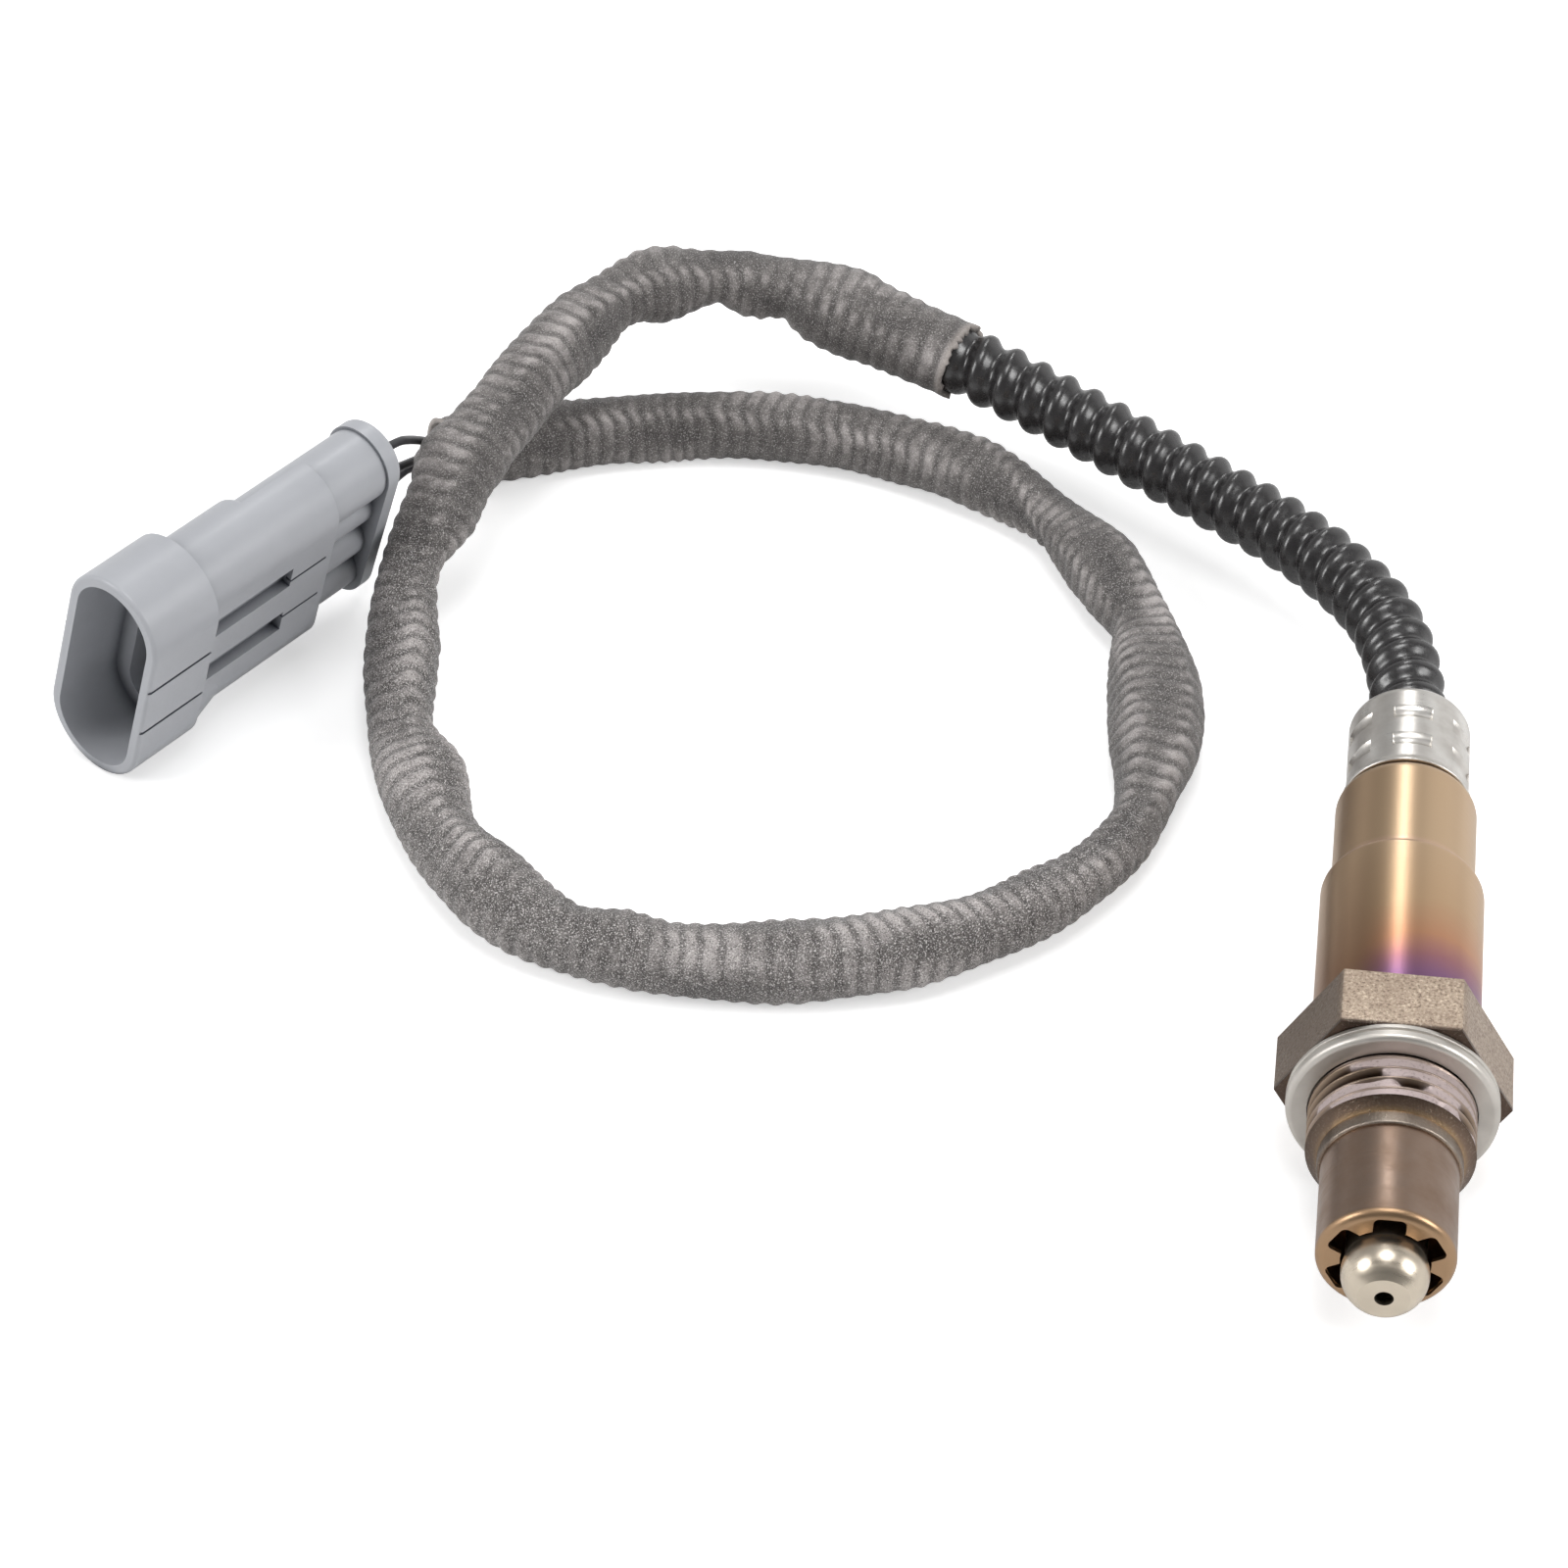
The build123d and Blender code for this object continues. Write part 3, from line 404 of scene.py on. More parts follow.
def bumped(n, shader, height, strength, distance):
    """Feeds a height to the shader's normal."""
    bump = n.add("ShaderNodeBump", Strength=strength, Distance=distance, Height=height)
    n.feed(shader.inputs["Normal"], bump.outputs["Normal"])


# ================= Finishes =================


def make_finishes():
    """Every material, by the record's slot or by the name of the extra piece that wears it."""
    grain = fine_grain_effect()
    lines = turned_lines_effect()
    clouds = cloud_effect()
    made = {}

    def body_steel():
        """Grainy taupe flats, painted shade on the hexagon's front face and side flats, gold chamfer, grey
        nose ring.
        """
        material, n, shader = finish_material("body_steel", Metallic=1.0)
        at = n.place()
        parts = n.add("ShaderNodeSeparateXYZ", Vector=at).outputs
        speck = n.group(grain, Place=at, Grain_Size=0.32 * MM)
        patch = n.group(clouds, Place=at, Patch_Size=4 * MM, Low=0.35, High=0.7)["Mask"]
        # Colours from the nose ring's front to the hexagon's rear, by their Y in millimetres. The dark stops
        # from -0.1 to 0.25 paint shade on the hexagon's front face.
        front_y, rear_y = -11.2, 8.0
        tint = n.ramp(n.span(parts["Y"], front_y * MM, rear_y * MM, smooth=False), [
            ((y - front_y) / (rear_y - front_y), srgb(*colour)) for y, colour in (
                (-11.2, (214, 160, 100)), (-10.95, (150, 140, 130)), (-9.6, (156, 144, 132)),
                (-9.3, (178, 148, 112)), (-8.9, (128, 108, 92)), (-8.2, (84, 70, 60)),
                (-2.4, (96, 80, 68)), (-0.1, (70, 58, 52)), (0.25, (78, 66, 60)),
                (0.6, (196, 178, 160)), (8.0, (188, 170, 152)),
            )
        ], smooth=False)
        on_hexagon = n.span(parts["Y"], 0.0, 0.6 * MM, 0.25, 1.0)
        grains = n.math("MULTIPLY", n.math("MULTIPLY", speck["Mask"], 0.7), on_hexagon)
        pits = n.math("MULTIPLY", n.span(speck["Height"], 0.48, 0.34, 0.0, 0.7), on_hexagon)
        colour = n.mix(grains, tint, srgb(244, 230, 208))
        colour = n.mix(pits, colour, srgb(112, 94, 82))
        # Painted shade: the flats on either side of the top one are darker and browner, the left one most.
        inner, outer = HEXAGON_FLAT_HALF - 0.3 * MM, HEXAGON_FLAT_HALF + 0.3 * MM
        colour = n.mix(n.span(parts["X"], -inner, -outer, 0.0, 0.62), colour, srgb(88, 76, 68))
        colour = n.mix(n.span(parts["X"], inner, outer, 0.0, 0.30), colour, srgb(104, 88, 80))
        colour = n.mix(n.math("MULTIPLY", patch, 0.30), colour, srgb(134, 114, 100))
        n.feed(shader.inputs["Base Color"], colour)
        on_top = n.span(parts["Z"], 9.5 * MM, 10.6 * MM)
        rough = n.math("ADD", n.math("MULTIPLY", on_top, 0.16), n.span(speck["Mask"], 0.0, 1.0, 0.36, 0.26))
        n.feed(shader.inputs["Roughness"], rough)
        height = n.math("MULTIPLY", speck["Height"], n.span(on_top, 0.0, 1.0, 0.5, 1.0))
        bumped(n, shader, height, 0.8, 0.16 * MM)
        return material

    def pasted_thread():
        """Dark thread with the pinkish assembly paste that bridges its grooves."""
        material, n, shader = finish_material("pasted_thread")
        at = n.place()
        speck = n.group(grain, Place=at, Grain_Size=0.35 * MM)
        paste = n.math("MULTIPLY", n.painted("paste"), n.span(speck["Height"], 0.25, 0.5, 0.6, 1.0))
        # Painted shade: the steel is darker in the thread's grooves than on its crests.
        steel = n.mix(n.painted("crest"), srgb(66, 54, 46), srgb(158, 138, 120))
        n.feed(shader.inputs["Base Color"], n.mix(paste, steel, srgb(188, 172, 170)))
        n.feed(shader.inputs["Metallic"], n.math("SUBTRACT", 1.0, n.math("MULTIPLY", paste, 0.75)))
        n.feed(shader.inputs["Roughness"], n.span(paste, 0.0, 1.0, 0.32, 0.42))
        bumped(n, shader, speck["Height"], 0.5, 0.08 * MM)
        return material

    def turned_steel(name, colour, roughness, line_width, patchy=0.2, dull=None, face=None, face_y=0.0):
        """Turned or drawn metal: fine lines round it, dull patches, and a tint in front of face_y."""
        material, n, shader = finish_material(name, Metallic=1.0)
        at = n.place()
        line = n.group(lines, Place=at, Line_Width=line_width)
        patch = n.group(clouds, Place=at, Patch_Size=3.5 * MM, Low=0.35, High=0.7)["Mask"]
        darker = dull or tuple(0.7 * c for c in colour[:3]) + (1.0,)
        tone = n.mix(n.math("MULTIPLY", patch, patchy), colour, darker)
        if face:
            y = n.add("ShaderNodeSeparateXYZ", Vector=at).outputs["Y"]
            tone = n.mix(n.span(y, face_y + 0.5 * MM, face_y), tone, face)
        n.feed(shader.inputs["Base Color"], tone)
        worn = n.math("MULTIPLY", patch, 0.10)
        streaks = n.span(line["Streak"], 0.3, 0.7, roughness - 0.03, roughness + 0.05)
        n.feed(shader.inputs["Roughness"], n.math("ADD", worn, streaks))
        bumped(n, shader, line["Height"], 0.25, 0.010 * MM)
        return material

    def heat_tinted_shell():
        """Gold-brown shell that runs to violet where the heat came through the hexagon."""
        material, n, shader = finish_material("heat_tinted_shell", Metallic=1.0)
        at = n.place()
        line = n.group(lines, Place=at, Line_Width=0.07 * MM)
        drift = n.group(clouds, Place=at, Patch_Size=9 * MM, Low=0.2, High=0.8)["Mask"]
        parts = n.add("ShaderNodeSeparateXYZ", Vector=at).outputs
        # The tint leans round the shell, drifts unevenly and stays brown on its left.
        turn = n.math("MULTIPLY", parts["X"], -0.22)
        reach = n.math("ADD", n.math("ADD", parts["Y"], turn), n.math("MULTIPLY", drift, 1.6 * MM))
        heat = n.span(reach, SHELL_FRONT_Y, SHELL_TINT_END_Y, smooth=False)
        top = n.ramp(heat, [
            (0.0, srgb(112, 88, 124)), (0.15, srgb(140, 101, 132)), (0.26, srgb(164, 114, 118)),
            (0.38, srgb(194, 144, 112)), (0.60, srgb(198, 166, 132)), (1.0, srgb(204, 176, 144)),
        ], smooth=False)
        left = n.ramp(heat, [
            (0.0, srgb(128, 100, 92)), (0.30, srgb(152, 118, 92)), (0.62, srgb(170, 140, 112)),
            (1.0, srgb(188, 160, 130)),
        ], smooth=False)
        tint = n.mix(n.span(parts["X"], -5.5 * MM, -1.0 * MM), left, top)
        # Painted highlight: the step's rounded edge is painted bright.
        from_step = n.math("ABSOLUTE", n.math("SUBTRACT", parts["Y"], SHELL_STEP_Y))
        step_highlight = n.math("SUBTRACT", 1.0, n.span(from_step, 0.3 * MM, 1.5 * MM))
        tint = n.mix(n.math("MULTIPLY", step_highlight, 0.55), tint, srgb(220, 186, 166))
        n.feed(shader.inputs["Base Color"], tint)
        n.feed(shader.inputs["Roughness"], n.span(line["Streak"], 0.3, 0.7, 0.31, 0.37))
        bumped(n, shader, line["Height"], 0.3, 0.008 * MM)
        return material

    def fired_ceramic(name, colour):
        """Matt pale ceramic or pressed powder with darker specks."""
        material, n, shader = finish_material(name, Roughness=0.7)
        at = n.place()
        speck = n.group(grain, Place=at, Grain_Size=0.2 * MM)
        darker = tuple(0.85 * c for c in colour[:3]) + (1.0,)
        n.feed(shader.inputs["Base Color"], n.mix(speck["Mask"], colour, darker))
        bumped(n, shader, speck["Height"], 0.3, 0.04 * MM)
        return material

    def moulded(name, colour, roughness, grain_size, depth, grime=None, **more):
        """Moulded plastic or rubber; painted shade darkens its recesses and inner corners."""
        material, n, shader = finish_material(name, **more)
        at = n.place()
        speck = n.group(grain, Place=at, Grain_Size=grain_size)
        patch = n.group(clouds, Place=at, Patch_Size=7 * MM, Low=0.3, High=0.75)["Mask"]
        lighter = tuple(min(1.0, 1.12 * c + 0.004) for c in colour[:3]) + (1.0,)
        tone = n.mix(n.math("MULTIPLY", patch, 0.5), colour, lighter)
        if grime:
            # Painted shade: ambient occlusion darkens the colour in recesses and inner corners.
            open_sky = n.add("ShaderNodeAmbientOcclusion", {"samples": 8}, Distance=3 * MM).outputs["AO"]
            tone = n.mix(n.span(open_sky, 0.35, 0.9), grime, tone)
        n.feed(shader.inputs["Base Color"], tone)
        sheen = n.span(speck["Height"], 0.3, 0.7, roughness - 0.05, roughness + 0.07)
        n.feed(shader.inputs["Roughness"], sheen)
        bumped(n, shader, speck["Height"], 0.25, depth)
        return material

    def glass_braid():
        """Grey glass-fibre braid: painted shade between its ribs, painted highlights on its creases, and
        bright specks that are pale fibres and painted glints.
        """
        material, n, shader = finish_material(
            "glass_braid", Specular_IOR_Level=0.3, Sheen_Weight=0.15, Sheen_Roughness=0.5)
        at = n.place()
        rib = n.painted("rib")
        cut = n.painted("cut_end")
        pale = n.painted("pale")
        tuft = n.group(grain, Place=at, Grain_Size=0.6 * MM)
        glint = n.group(grain, Place=at, Grain_Size=0.18 * MM)
        mottle = n.group(clouds, Place=at, Patch_Size=1.6 * MM, Low=0.30, High=0.70)["Mask"]
        uneven = n.math("MULTIPLY", n.math("SUBTRACT", mottle, 0.5), 0.36)
        # Painted light and shade: the fold value is bright on crease crests, dark in the grooves beside them
        # and uneven across the slack waves.
        level = n.math("ADD", n.painted("fold_shading"), uneven)
        level = n.math("ADD", level, n.math("MULTIPLY", pale, 0.08), clamp=True)
        colour = n.ramp(level, [
            (0.0, srgb(70, 67, 66)), (0.45, srgb(106, 102, 100)), (1.0, srgb(178, 172, 170)),
        ], smooth=False)
        # Painted shade between the ribs.
        colour = n.mix(n.math("MULTIPLY", n.span(rib, 0.55, 0.0), 0.52), colour, srgb(62, 59, 58))
        fleck = n.span(pale, 0.0, 1.0, 0.45, 0.95)
        gaps = n.math("MULTIPLY", fleck, n.span(glint["Height"], 0.48, 0.32))
        # Bright specks: pale fibres and painted glints.
        pale_fibres_and_glints = n.math("MULTIPLY", fleck, n.span(glint["Height"], 0.53, 0.66))
        colour = n.mix(gaps, colour, srgb(50, 48, 47))
        colour = n.mix(pale_fibres_and_glints, colour, srgb(222, 218, 216))
        colour = n.mix(n.math("MULTIPLY", cut, 0.6), colour, srgb(180, 171, 165))
        n.feed(shader.inputs["Base Color"], colour)
        n.feed(shader.inputs["Roughness"], n.span(glint["Mask"], 0.0, 1.0, 0.62, 0.34))
        coarse = n.math("MULTIPLY", tuft["Height"], 0.6)
        height = n.math("ADD", coarse, n.math("MULTIPLY", glint["Height"], 0.4))
        bumped(n, shader, height, 0.5, 0.2 * MM)
        return material

    made["housing_steel"] = body_steel()
    made["pasted_thread"] = pasted_thread()
    made["gasket_steel"] = turned_steel(
        "gasket_steel", srgb(212, 207, 200), roughness=0.38, line_width=0.12 * MM, patchy=0.35)
    made["tube_alloy"] = turned_steel(
        "tube_alloy", srgb(150, 130, 116), roughness=0.33, line_width=0.10 * MM, patchy=0.5,
        dull=srgb(128, 102, 82), face=srgb(170, 140, 110), face_y=TUBE_FACE_Y)
    made["dome_alloy"] = turned_steel(
        "dome_alloy", srgb(214, 202, 184), roughness=0.26, line_width=0.12 * MM, patchy=0.3)
    made["shell_steel"] = heat_tinted_shell()
    made["collar_steel"] = turned_steel(
        "collar_steel", srgb(226, 223, 218), roughness=0.28, line_width=0.12 * MM, patchy=0.6,
        dull=srgb(176, 169, 161))
    made["sleeve_braid"] = glass_braid()
    for name, colour, roughness in (
        ("clamp_steel", (190, 190, 188), 0.35),
        ("contact_alloy", (214, 200, 170), 0.3),
        ("terminal_tin", (222, 220, 212), 0.25),
    ):
        made[name] = turned_steel(name, srgb(*colour), roughness, line_width=0.2 * MM)
    for name, colour in (
        ("element_ceramic", (236, 232, 224)), ("bush_ceramic", (228, 222, 208)), ("talc", (222, 222, 214))
    ):
        made[name] = fired_ceramic(name, srgb(*colour))
    for name, colour, roughness, grain_mm, depth_mm, more in (
        ("grommet_rubber", (34, 34, 35), 0.6, 0.3, 0.05, {}),
        ("conduit_plastic", (34, 32, 33), 0.27, 0.6, 0.006, {"Specular_IOR_Level": 0.9}),
        ("wire_insulation", (44, 44, 48), 0.4, 0.3, 0.02, {}),
        # The plug's plastic gets painted shade in its recesses and its mouth.
        ("plug_plastic", (173, 175, 180), 0.34, 0.5, 0.02, {"grime": srgb(82, 85, 92)}),
        ("seal_rubber", (120, 60, 48), 0.5, 0.3, 0.02, {}),
    ):
        made[name] = moulded(name, srgb(*colour), roughness, grain_mm * MM, depth_mm * MM, **more)
    return made


# ================= Studio =================


def set_camera():
    """Long lens from in front and above, aimed at the sensor's left."""
    data = bpy.data.cameras.new("camera")
    data.lens = LENS_MM
    data.sensor_width = FILM_MM
    data.clip_start = 0.01
    data.clip_end = 20.0
    camera = bpy.data.objects.new("camera", data)
    camera.location = CAMERA_PLACE
    camera.rotation_euler = CAMERA_VIEW.to_track_quat("-Z", "Y").to_euler()
    bpy.context.scene.collection.objects.link(camera)
    bpy.context.scene.camera = camera


def soft_box(name, direction, distance, width, height, watts):
    """Rectangular lamp that faces the object from a direction."""
    data = bpy.data.lights.new(name, "AREA")
    data.shape = "RECTANGLE"
    data.size = width
    data.size_y = height
    data.energy = watts
    lamp = bpy.data.objects.new(name, data)
    towards = Vector(direction).normalized()
    lamp.location = OBJECT_MIDDLE + towards * distance
    lamp.rotation_euler = (-towards).to_track_quat("-Z", "Y").to_euler()
    bpy.context.scene.collection.objects.link(lamp)


def light_studio():
    """A narrow strip behind for the long highlight, three boxes, and a dim room with one pale wall."""
    soft_box("left_box", (-0.80, -0.30, 0.52), distance=0.9, width=0.34, height=0.40, watts=3.2)
    soft_box("right_box", (0.84, -0.20, 0.50), distance=0.9, width=0.34, height=0.40, watts=3.0)
    soft_box("rear_strip", (0.0, 0.75, 0.66), distance=1.0, width=0.09, height=0.50, watts=1.3)
    soft_box("top_box", (0.05, -0.05, 1.0), distance=0.9, width=0.36, height=0.36, watts=3.0)
    world = bpy.data.worlds.new("studio_room")
    world.use_nodes = True
    tree = world.node_tree
    n = Nodes(tree)
    parts = n.add("ShaderNodeSeparateXYZ", Vector=n.place_in_room()).outputs
    room = n.ramp(parts["Z"], [(0.0, grey(0.80)), (0.12, grey(0.64)), (0.40, grey(0.34)), (1.0, grey(0.38))])
    aim = n.add("ShaderNodeVectorMath", {"operation": "DOT_PRODUCT"})
    n.feed(aim.inputs[0], n.place_in_room())
    n.feed(aim.inputs[1], Vector(GLOW_DIRECTION).normalized())
    room = n.mix(n.span(aim.outputs["Value"], 0.86, 0.985, 0.0, 0.9), room, grey(0.95))
    in_front = n.span(parts["Y"], 0.1, -0.7, 0.0, 0.5)
    room = n.mix(in_front, room, grey(0.05))
    rays = n.add("ShaderNodeLightPath")
    room = n.mix(rays.outputs["Is Camera Ray"], room, grey(1.0))
    n.feed(tree.nodes["Background"].inputs["Color"], room)
    bpy.context.scene.world = world


def lay_floor():
    """White bench top: it keeps the object's soft shadow."""
    material = bpy.data.materials.new("bench_white")
    material.use_nodes = True
    tree = material.node_tree
    n = Nodes(tree)
    shader = tree.nodes["Principled BSDF"]
    shader.inputs["Roughness"].default_value = 0.9
    shader.inputs["Specular IOR Level"].default_value = 0.0
    shader.inputs["Base Color"].default_value = grey(FLOOR_GREY)
    shader.inputs["Emission Color"].default_value = grey(1.0)
    rays = n.add("ShaderNodeLightPath").outputs
    n.feed(shader.inputs["Emission Strength"], n.math("MULTIPLY", rays["Is Camera Ray"], FLOOR_GLOW))
    half = FLOOR_HALF_WIDTH
    corners = [(x, y, BENCH_Z) for x, y in ((-half, -half), (half, -half), (half, half), (-half, half))]
    floor = mesh_piece("bench_top", corners, [(0, 1, 2, 3)], material, smooth=False)


# ================= Cable =================


def plug_point(index, z):
    """Point on the axis of one of the plug's cavities, z behind its mouth, in millimetres."""
    row = Vector((sin(PLUG_ROLL) * cos(PLUG_YAW), -sin(PLUG_ROLL) * sin(PLUG_YAW), cos(PLUG_ROLL)))
    rearward = Vector((sin(PLUG_YAW), cos(PLUG_YAW), 0))
    return PLUG_MOUTH + row * CAVITIES[index] * CAVITY_PITCH + rearward * z


def wire_route(side, up, index):
    """Control points of one wire: beside the cable's centre line, then fanned out to its cavity."""
    first_run_y = (CABLE_START_Y + CABLE_ROUTE[1][1]) / 2
    points = [
        (side * WIRE_SPREAD, WIRE_START_Y, up * WIRE_SPREAD),
        (side * WIRE_SPREAD, first_run_y, up * WIRE_SPREAD),
    ]
    centres = [Vector(p) for p in CABLE_ROUTE]
    for before, centre, after in zip(centres, centres[1:], centres[2:]):
        along = (centre - before).normalized() + (after - centre).normalized()
        along = Vector((along.x, along.y, 0)).normalized()
        beside = Vector((along.y, -along.x, 0))
        points.append(centre + beside * side * BUNDLE_SPREAD + Vector((0, 0, up * BUNDLE_SPREAD)))
    points += [WIRE_TURNS[index], WIRE_FANS[index]]
    points += [plug_point(index, PLUG_LENGTH + 3.2), plug_point(index, WIRE_END_Z)]
    return [tuple(p) for p in points]


def lay_wires(finishes):
    """The four wires, from their contacts to the plug's cavities."""
    for name, side, up, index in (
        ("wire_1", -1, 1, 0), ("wire_2", 1, 1, 1), ("wire_3", -1, -1, 2), ("wire_4", 1, -1, 3)
    ):
        route = wire_route(side, up, index)
        piece = spline_curve(f"{name}_lead", route, WIRE_R, finishes["wire_insulation"])
        _, runs = points_along(route, 1 * MM)
        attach(piece, "root")
        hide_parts(name)


def ridge_shape(phase):
    """Height of the conduit's wall over one pitch: broad round ridge, narrow groove."""
    wave = 0.5 + 0.5 * np.cos(2 * pi * phase)
    return 1 - (1 - wave) ** 1.2


def lay_conduit(finishes):
    """Corrugated conduit, its ridge one long helix."""
    line, runs = points_along(CONDUIT_ROUTE, CONDUIT_PITCH / RINGS_PER_RIDGE)
    turns = np.linspace(0, 1, CONDUIT_AROUND, endpoint=False)

    # It tapers into the collar and is squeezed thin where it ends inside the sleeve.
    def radius(i, angles):
        ridge = ridge_shape(runs[i] / CONDUIT_PITCH + turns)
        taper = smooth_bump(runs[i] / (4 * MM)) * 0.35 * MM
        crush = smooth_bump((runs[-1] - runs[i]) / (7 * MM)) * 1.9 * MM
        r = CONDUIT_R - CONDUIT_GROOVE * (1 - ridge) - taper * ridge - crush
        return r * np.cos(angles), r * np.sin(angles)

    vertices = swept(line, radius, CONDUIT_AROUND)
    faces = ring_faces(len(line), CONDUIT_AROUND, closed_ends=True)
    piece = mesh_piece("conduit_ridged", vertices, faces, finishes["conduit_plastic"])
    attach(piece, "root")
    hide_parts("corrugated_conduit")


def sleeve_outline(at):
    """The sleeve's left and right half widths at each distance along it, with no corners."""
    stations, lefts, rights = zip(*SLEEVE_EDGES)
    soft = np.hanning(9) / np.hanning(9).sum()
    return [
        np.convolve(np.pad(np.interp(at, stations, edge), 4, "edge"), soft, "valid") * MM
        for edge in (lefts, rights)
    ]


def sleeve_creases(at):
    """Each crease's angle round the sleeve, and its sharpness, at each distance along it."""
    creases = []
    for crease in SLEEVE_CREASES:
        places, degrees, sharpness = zip(*crease)
        creases.append((np.radians(np.interp(at, places, degrees)), np.interp(at, places, sharpness)))
    return creases


def lay_sleeve(finishes):
    """Braided sleeve: ribbed, creased along its length, pinched, swollen and frayed."""
    line, runs = points_along(SLEEVE_ROUTE, SLEEVE_RIB_PITCH / RINGS_PER_RIB)
    around = SLEEVE_AROUND
    rng = np.random.default_rng(7)
    at = runs / MM
    left, right = sleeve_outline(at)
    creases = sleeve_creases(at)
    # Its ribs drift, its near end is ragged, and waves of slack run over it.
    wander = np.cumsum(rng.normal(0, 0.05, len(line)))
    wander = np.interp(at, at[::30], wander[::30])
    fray = rng.uniform(0, 1, around) ** 2 * 0.9 * MM
    waves = [
        (k, rng.uniform(1.8, 11), rng.uniform(0, 2 * pi), rng.uniform(0, 2 * pi))
        for k in (1, 1, 2, 2, 3, 3, 4)
    ]
    angles = np.linspace(0, 2 * pi, around, endpoint=False)
    side, up = frames_along(line)
    sight = -np.array(CAMERA_VIEW)
    rings, ribs, fold_shadings = [], [], []
    for i, s in enumerate(at):
        near = [((angles - place[i] + pi) % (2 * pi) - pi, sharp[i]) for place, sharp in creases]
        crest = sum(sharp * np.exp(-(d / CREST_WIDTH) ** 2) for d, sharp in near)
        groove = sum(sharp * np.exp(-((d - GROOVE_AWAY) / GROOVE_WIDTH) ** 2) for d, sharp in near)
        skip = sum(sharp * np.tanh(d / 0.2) * np.exp(-(d / 1.1) ** 2) for d, sharp in near)
        patchy = sum(np.sin(k * angles + p) * np.sin(s / reach + q) for k, reach, p, q in waves)
        # The conduit inside its first stretch keeps it round there.
        slack = np.clip((s - 22) / 14, 0.2, 1)
        # The ribs step aside where they cross a crease.
        phase = s * MM / SLEEVE_RIB_PITCH + wander[i] + 0.24 * slack * skip + 0.07 * patchy * slack
        rib = 0.5 + 0.5 * np.cos(2 * pi * phase)
        show = np.clip(0.85 + 0.25 * patchy, 0.45, 1.35)
        facing = atan2(up[i] @ sight, side[i] @ sight)
        r = (left[i] + right[i]) / 2 + (right[i] - left[i]) / 2 * np.sin(facing - angles)
        r = r * (1 + slack * (0.022 * patchy + 0.05 * crest - 0.05 * groove))
        r = r + SLEEVE_RIB_DEPTH * (rib - 0.7) * show
        # Its underside lies flat on the bench.
        lowest = BENCH_Z - line[i][2] + 0.02 * MM
        across, upward = r * np.cos(angles), np.maximum(r * np.sin(angles), lowest)
        rings.append(line[i] + np.outer(across, side[i]) + np.outer(upward, up[i]))
        ribs.append(np.clip(0.5 + (rib - 0.5) * show, 0, 1))
        # Painted light and shade: a highlight on crease crests, shade in the grooves beside them, and light
        # and dark over the slack waves.
        shade = 0.46 + 0.11 * patchy + crest * (0.42 * rib - 0.08) - 0.18 * groove
        fold_shadings.append(np.clip(shade, 0, 1))
    lead = line[1] - line[0]
    rings[0] = rings[0] - np.outer(fray, lead / np.linalg.norm(lead))
    # The cut ends turn in, so that the sheet shows its thickness.
    for first, inward in ((0, 1), (-1, -1)):
        middle, edge = line[first], rings[first]
        thin = middle + (edge - middle) * (1 - SLEEVE_WALL / SLEEVE_R)
        deep = thin + (line[first + RINGS_PER_RIB * inward] - middle)
        for ring, rib in ((thin, 0.9), (deep, 0.0)):
            rings.insert(0 if inward > 0 else len(rings), ring)
            ribs.insert(0 if inward > 0 else len(ribs), np.full(around, rib))
            fold_shadings.insert(0 if inward > 0 else len(fold_shadings), np.full(around, 0.5))
    # Loose pale fibres at both cuts.
    cut = np.zeros(len(rings))
    cut[:6] = (0.4, 1, 1, 0.8, 0.4, 0.2)
    cut[-6:] = (0.3, 0.5, 0.8, 1, 1, 0.4)
    pale_from, pale_to = SLEEVE_PALE_RUN
    pale = 1 / (1 + np.exp((pale_from - at) / PALE_SOFTNESS)) / (1 + np.exp((at - pale_to) / PALE_SOFTNESS))
    piece = mesh_piece(
        "sleeve_braided", np.concatenate(rings), ring_faces(len(rings), around), finishes["sleeve_braid"])
    paint(piece, "rib", np.concatenate(ribs))
    paint(piece, "fold_shading", np.concatenate(fold_shadings))
    paint(piece, "cut_end", np.repeat(cut, around))
    paint(piece, "pale", np.repeat(np.pad(pale, 2, "edge"), around))
    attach(piece, "root")
    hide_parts("braided_sleeve")


# ================= Sensor body =================


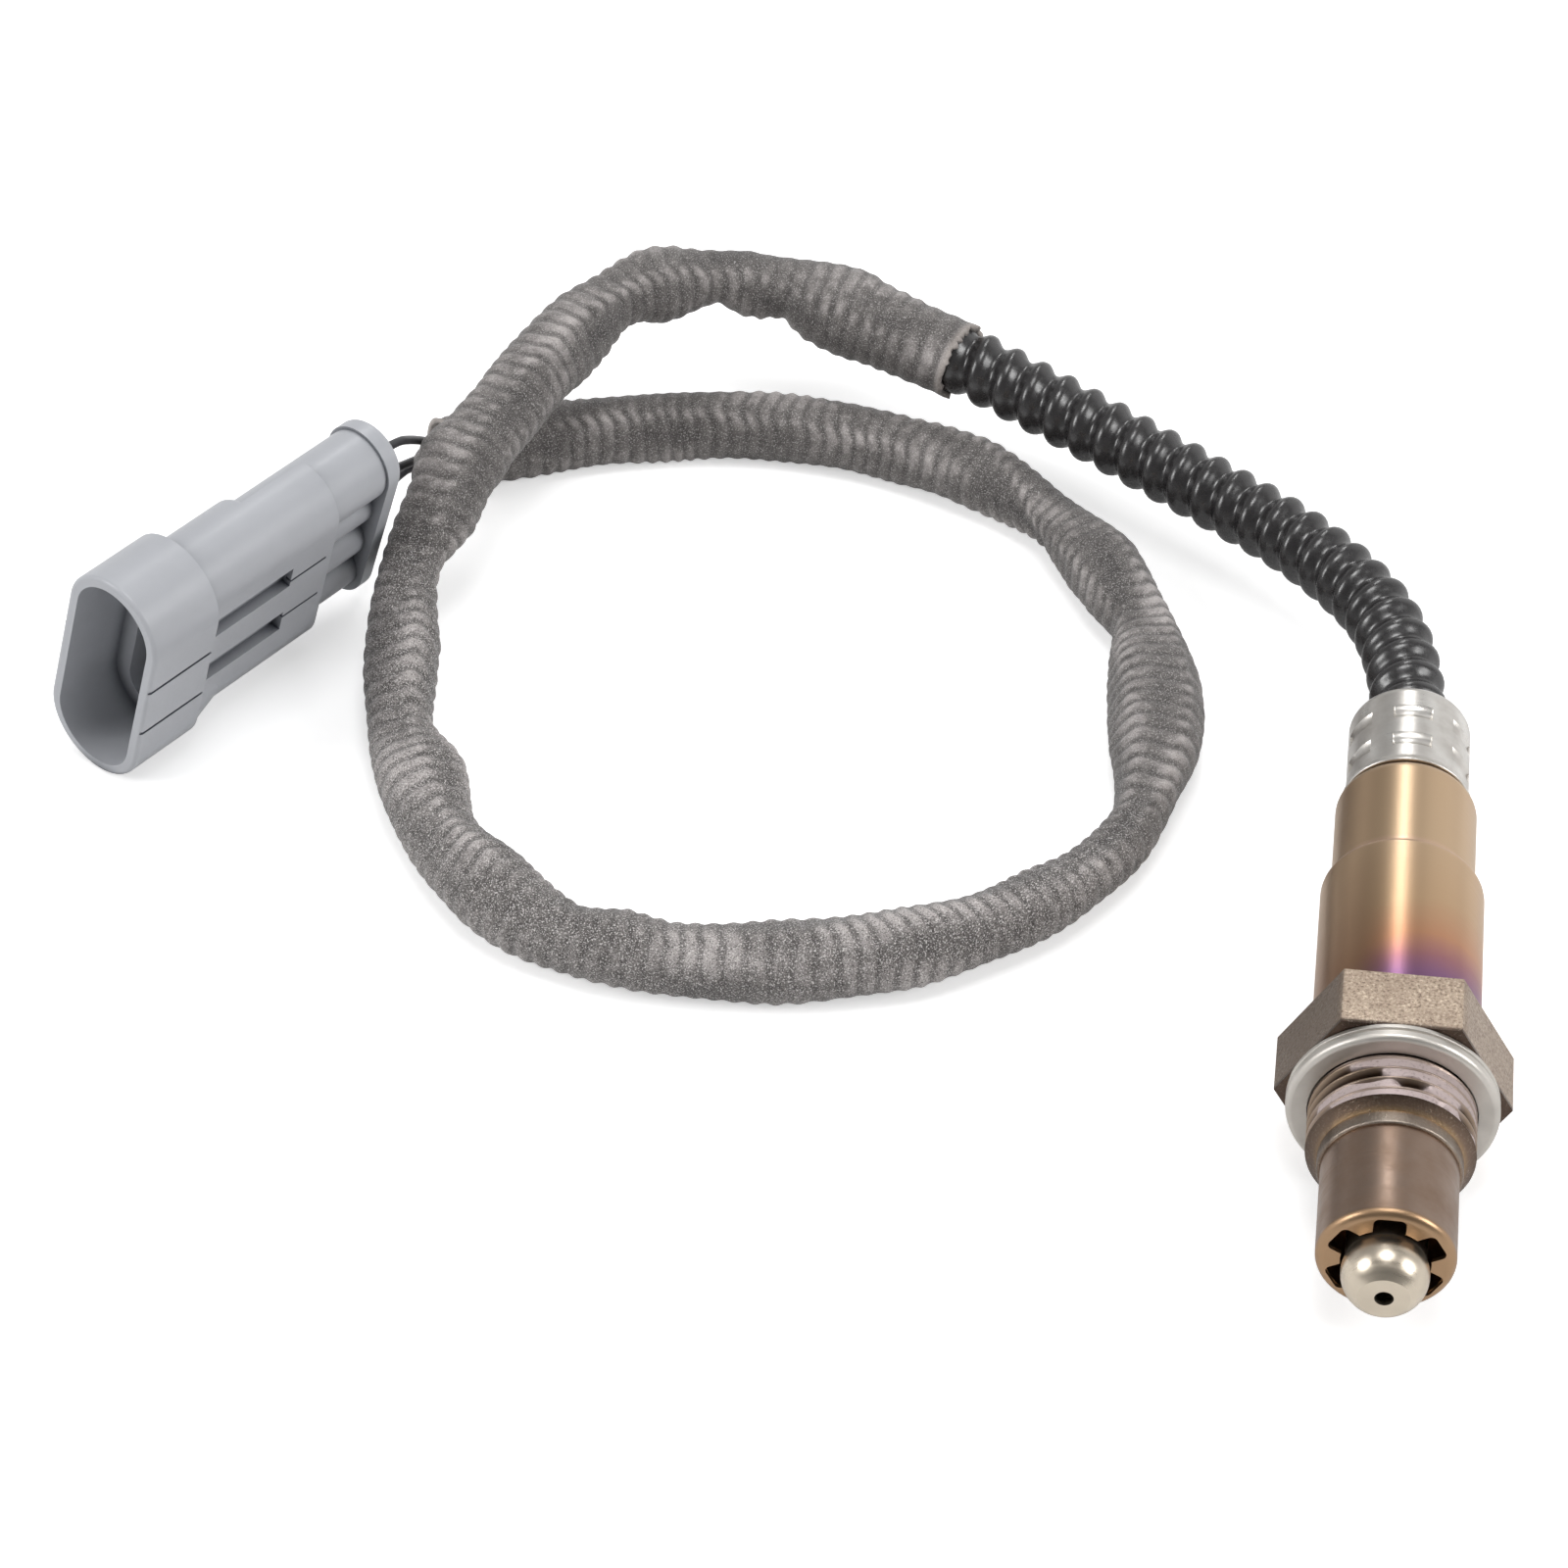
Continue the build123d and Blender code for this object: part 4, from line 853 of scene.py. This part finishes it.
def cut_thread(frame, finishes):
    """Copy of the body whose plain thread cylinder gives way to a real 1.5 mm thread."""
    source = frame["nodes"]["sensor_housing"]
    bm = bmesh.new()
    bm.from_mesh(source.data)
    plain_cylinder = [
        face for face in bm.faces if all(
            abs((v.co.x ** 2 + v.co.z ** 2) ** 0.5 - THREAD_R) < 0.01 * MM
            and THREAD_FRONT_Y - 0.02 * MM < v.co.y < THREAD_REAR_Y + 0.02 * MM
            for v in face.verts
        )
    ]
    bmesh.ops.delete(bm, geom=plain_cylinder, context="FACES")
    mesh = bpy.data.meshes.new("body_with_thread")
    bm.to_mesh(mesh)
    bm.free()
    mesh.materials.clear()
    mesh.materials.append(finishes["housing_steel"])
    body = bpy.data.objects.new("body_with_thread", mesh)
    bpy.context.scene.collection.objects.link(body)
    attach(body, "root")
    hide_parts("sensor_housing")

    # Paste clings in uneven patches, most on the thread's upper right, and bridges the grooves there.
    angles = np.linspace(0, 2 * pi, THREAD_AROUND, endpoint=False)
    rng = np.random.default_rng(11)
    waves = [
        (k, rng.uniform(-1.6, 1.6), rng.uniform(0, 2 * pi), 0.9 / k ** 0.5)
        for k in (1, 2, 3, 5, 7, 9, 13)
    ]
    vertices, paste, crests = [], [], []
    for y in np.linspace(THREAD_FRONT_Y, THREAD_REAR_Y, THREAD_ROWS):
        phase = ((y - THREAD_FRONT_Y) / THREAD_PITCH + angles / (2 * pi)) % 1.0
        groove = np.clip(1.18 - np.abs(phase - 0.5) * 2 * 1.35, 0, 1)
        ends = max(0.0, min(1.0, (y - THREAD_FRONT_Y) / (0.5 * MM), (THREAD_REAR_Y - y) / (0.6 * MM)))
        cut = THREAD_R - THREAD_DEPTH * groove * ends
        cling = sum(a * np.sin(k * angles + m * y / MM + p) for k, m, p, a in waves)
        cling += 0.9 * np.cos(angles - radians(55)) - 0.1
        share = np.clip(0.5 + cling, 0, 1)
        filled = np.maximum(cut, THREAD_R - THREAD_DEPTH + share * (THREAD_DEPTH - 0.12 * MM))
        r = cut + (filled - cut) * share
        vertices += [(r[k] * cos(a), y, r[k] * sin(a)) for k, a in enumerate(angles)]
        paste.append(share * np.clip((r - cut) / (0.10 * MM) + 0.35, 0, 1))
        crests.append(np.clip(1 - groove * 1.6, 0, 1))
    faces = ring_faces(THREAD_ROWS, THREAD_AROUND)
    thread = mesh_piece("cut_thread", vertices, faces, finishes["pasted_thread"])
    paint(thread, "paste", np.concatenate(paste))
    paint(thread, "crest", np.concatenate(crests))
    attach(thread, "root")


def dress_frame(frame, finishes):
    """Gives every CAD node the finish of its slot."""
    slots = {s["node"]: s["material_slot"] for s in frame["record"]["subparts"]}
    for name, node in frame["nodes"].items():
        node.data.materials.clear()
        node.data.materials.append(finishes[slots[name]])


# ================= Build =================

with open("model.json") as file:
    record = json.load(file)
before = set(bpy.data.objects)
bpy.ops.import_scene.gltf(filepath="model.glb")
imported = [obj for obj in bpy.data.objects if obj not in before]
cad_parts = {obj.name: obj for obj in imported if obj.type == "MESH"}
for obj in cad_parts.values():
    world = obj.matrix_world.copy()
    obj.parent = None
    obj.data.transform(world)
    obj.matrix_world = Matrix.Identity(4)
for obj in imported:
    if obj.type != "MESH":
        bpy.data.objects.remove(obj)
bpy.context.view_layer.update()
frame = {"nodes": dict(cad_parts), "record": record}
bpy.context.scene.view_settings.view_transform = "Standard"

set_camera()
finishes = make_finishes()
lay_wires(finishes)
lay_conduit(finishes)
lay_sleeve(finishes)
cut_thread(frame, finishes)
dress_frame(frame, finishes)
light_studio()
lay_floor()
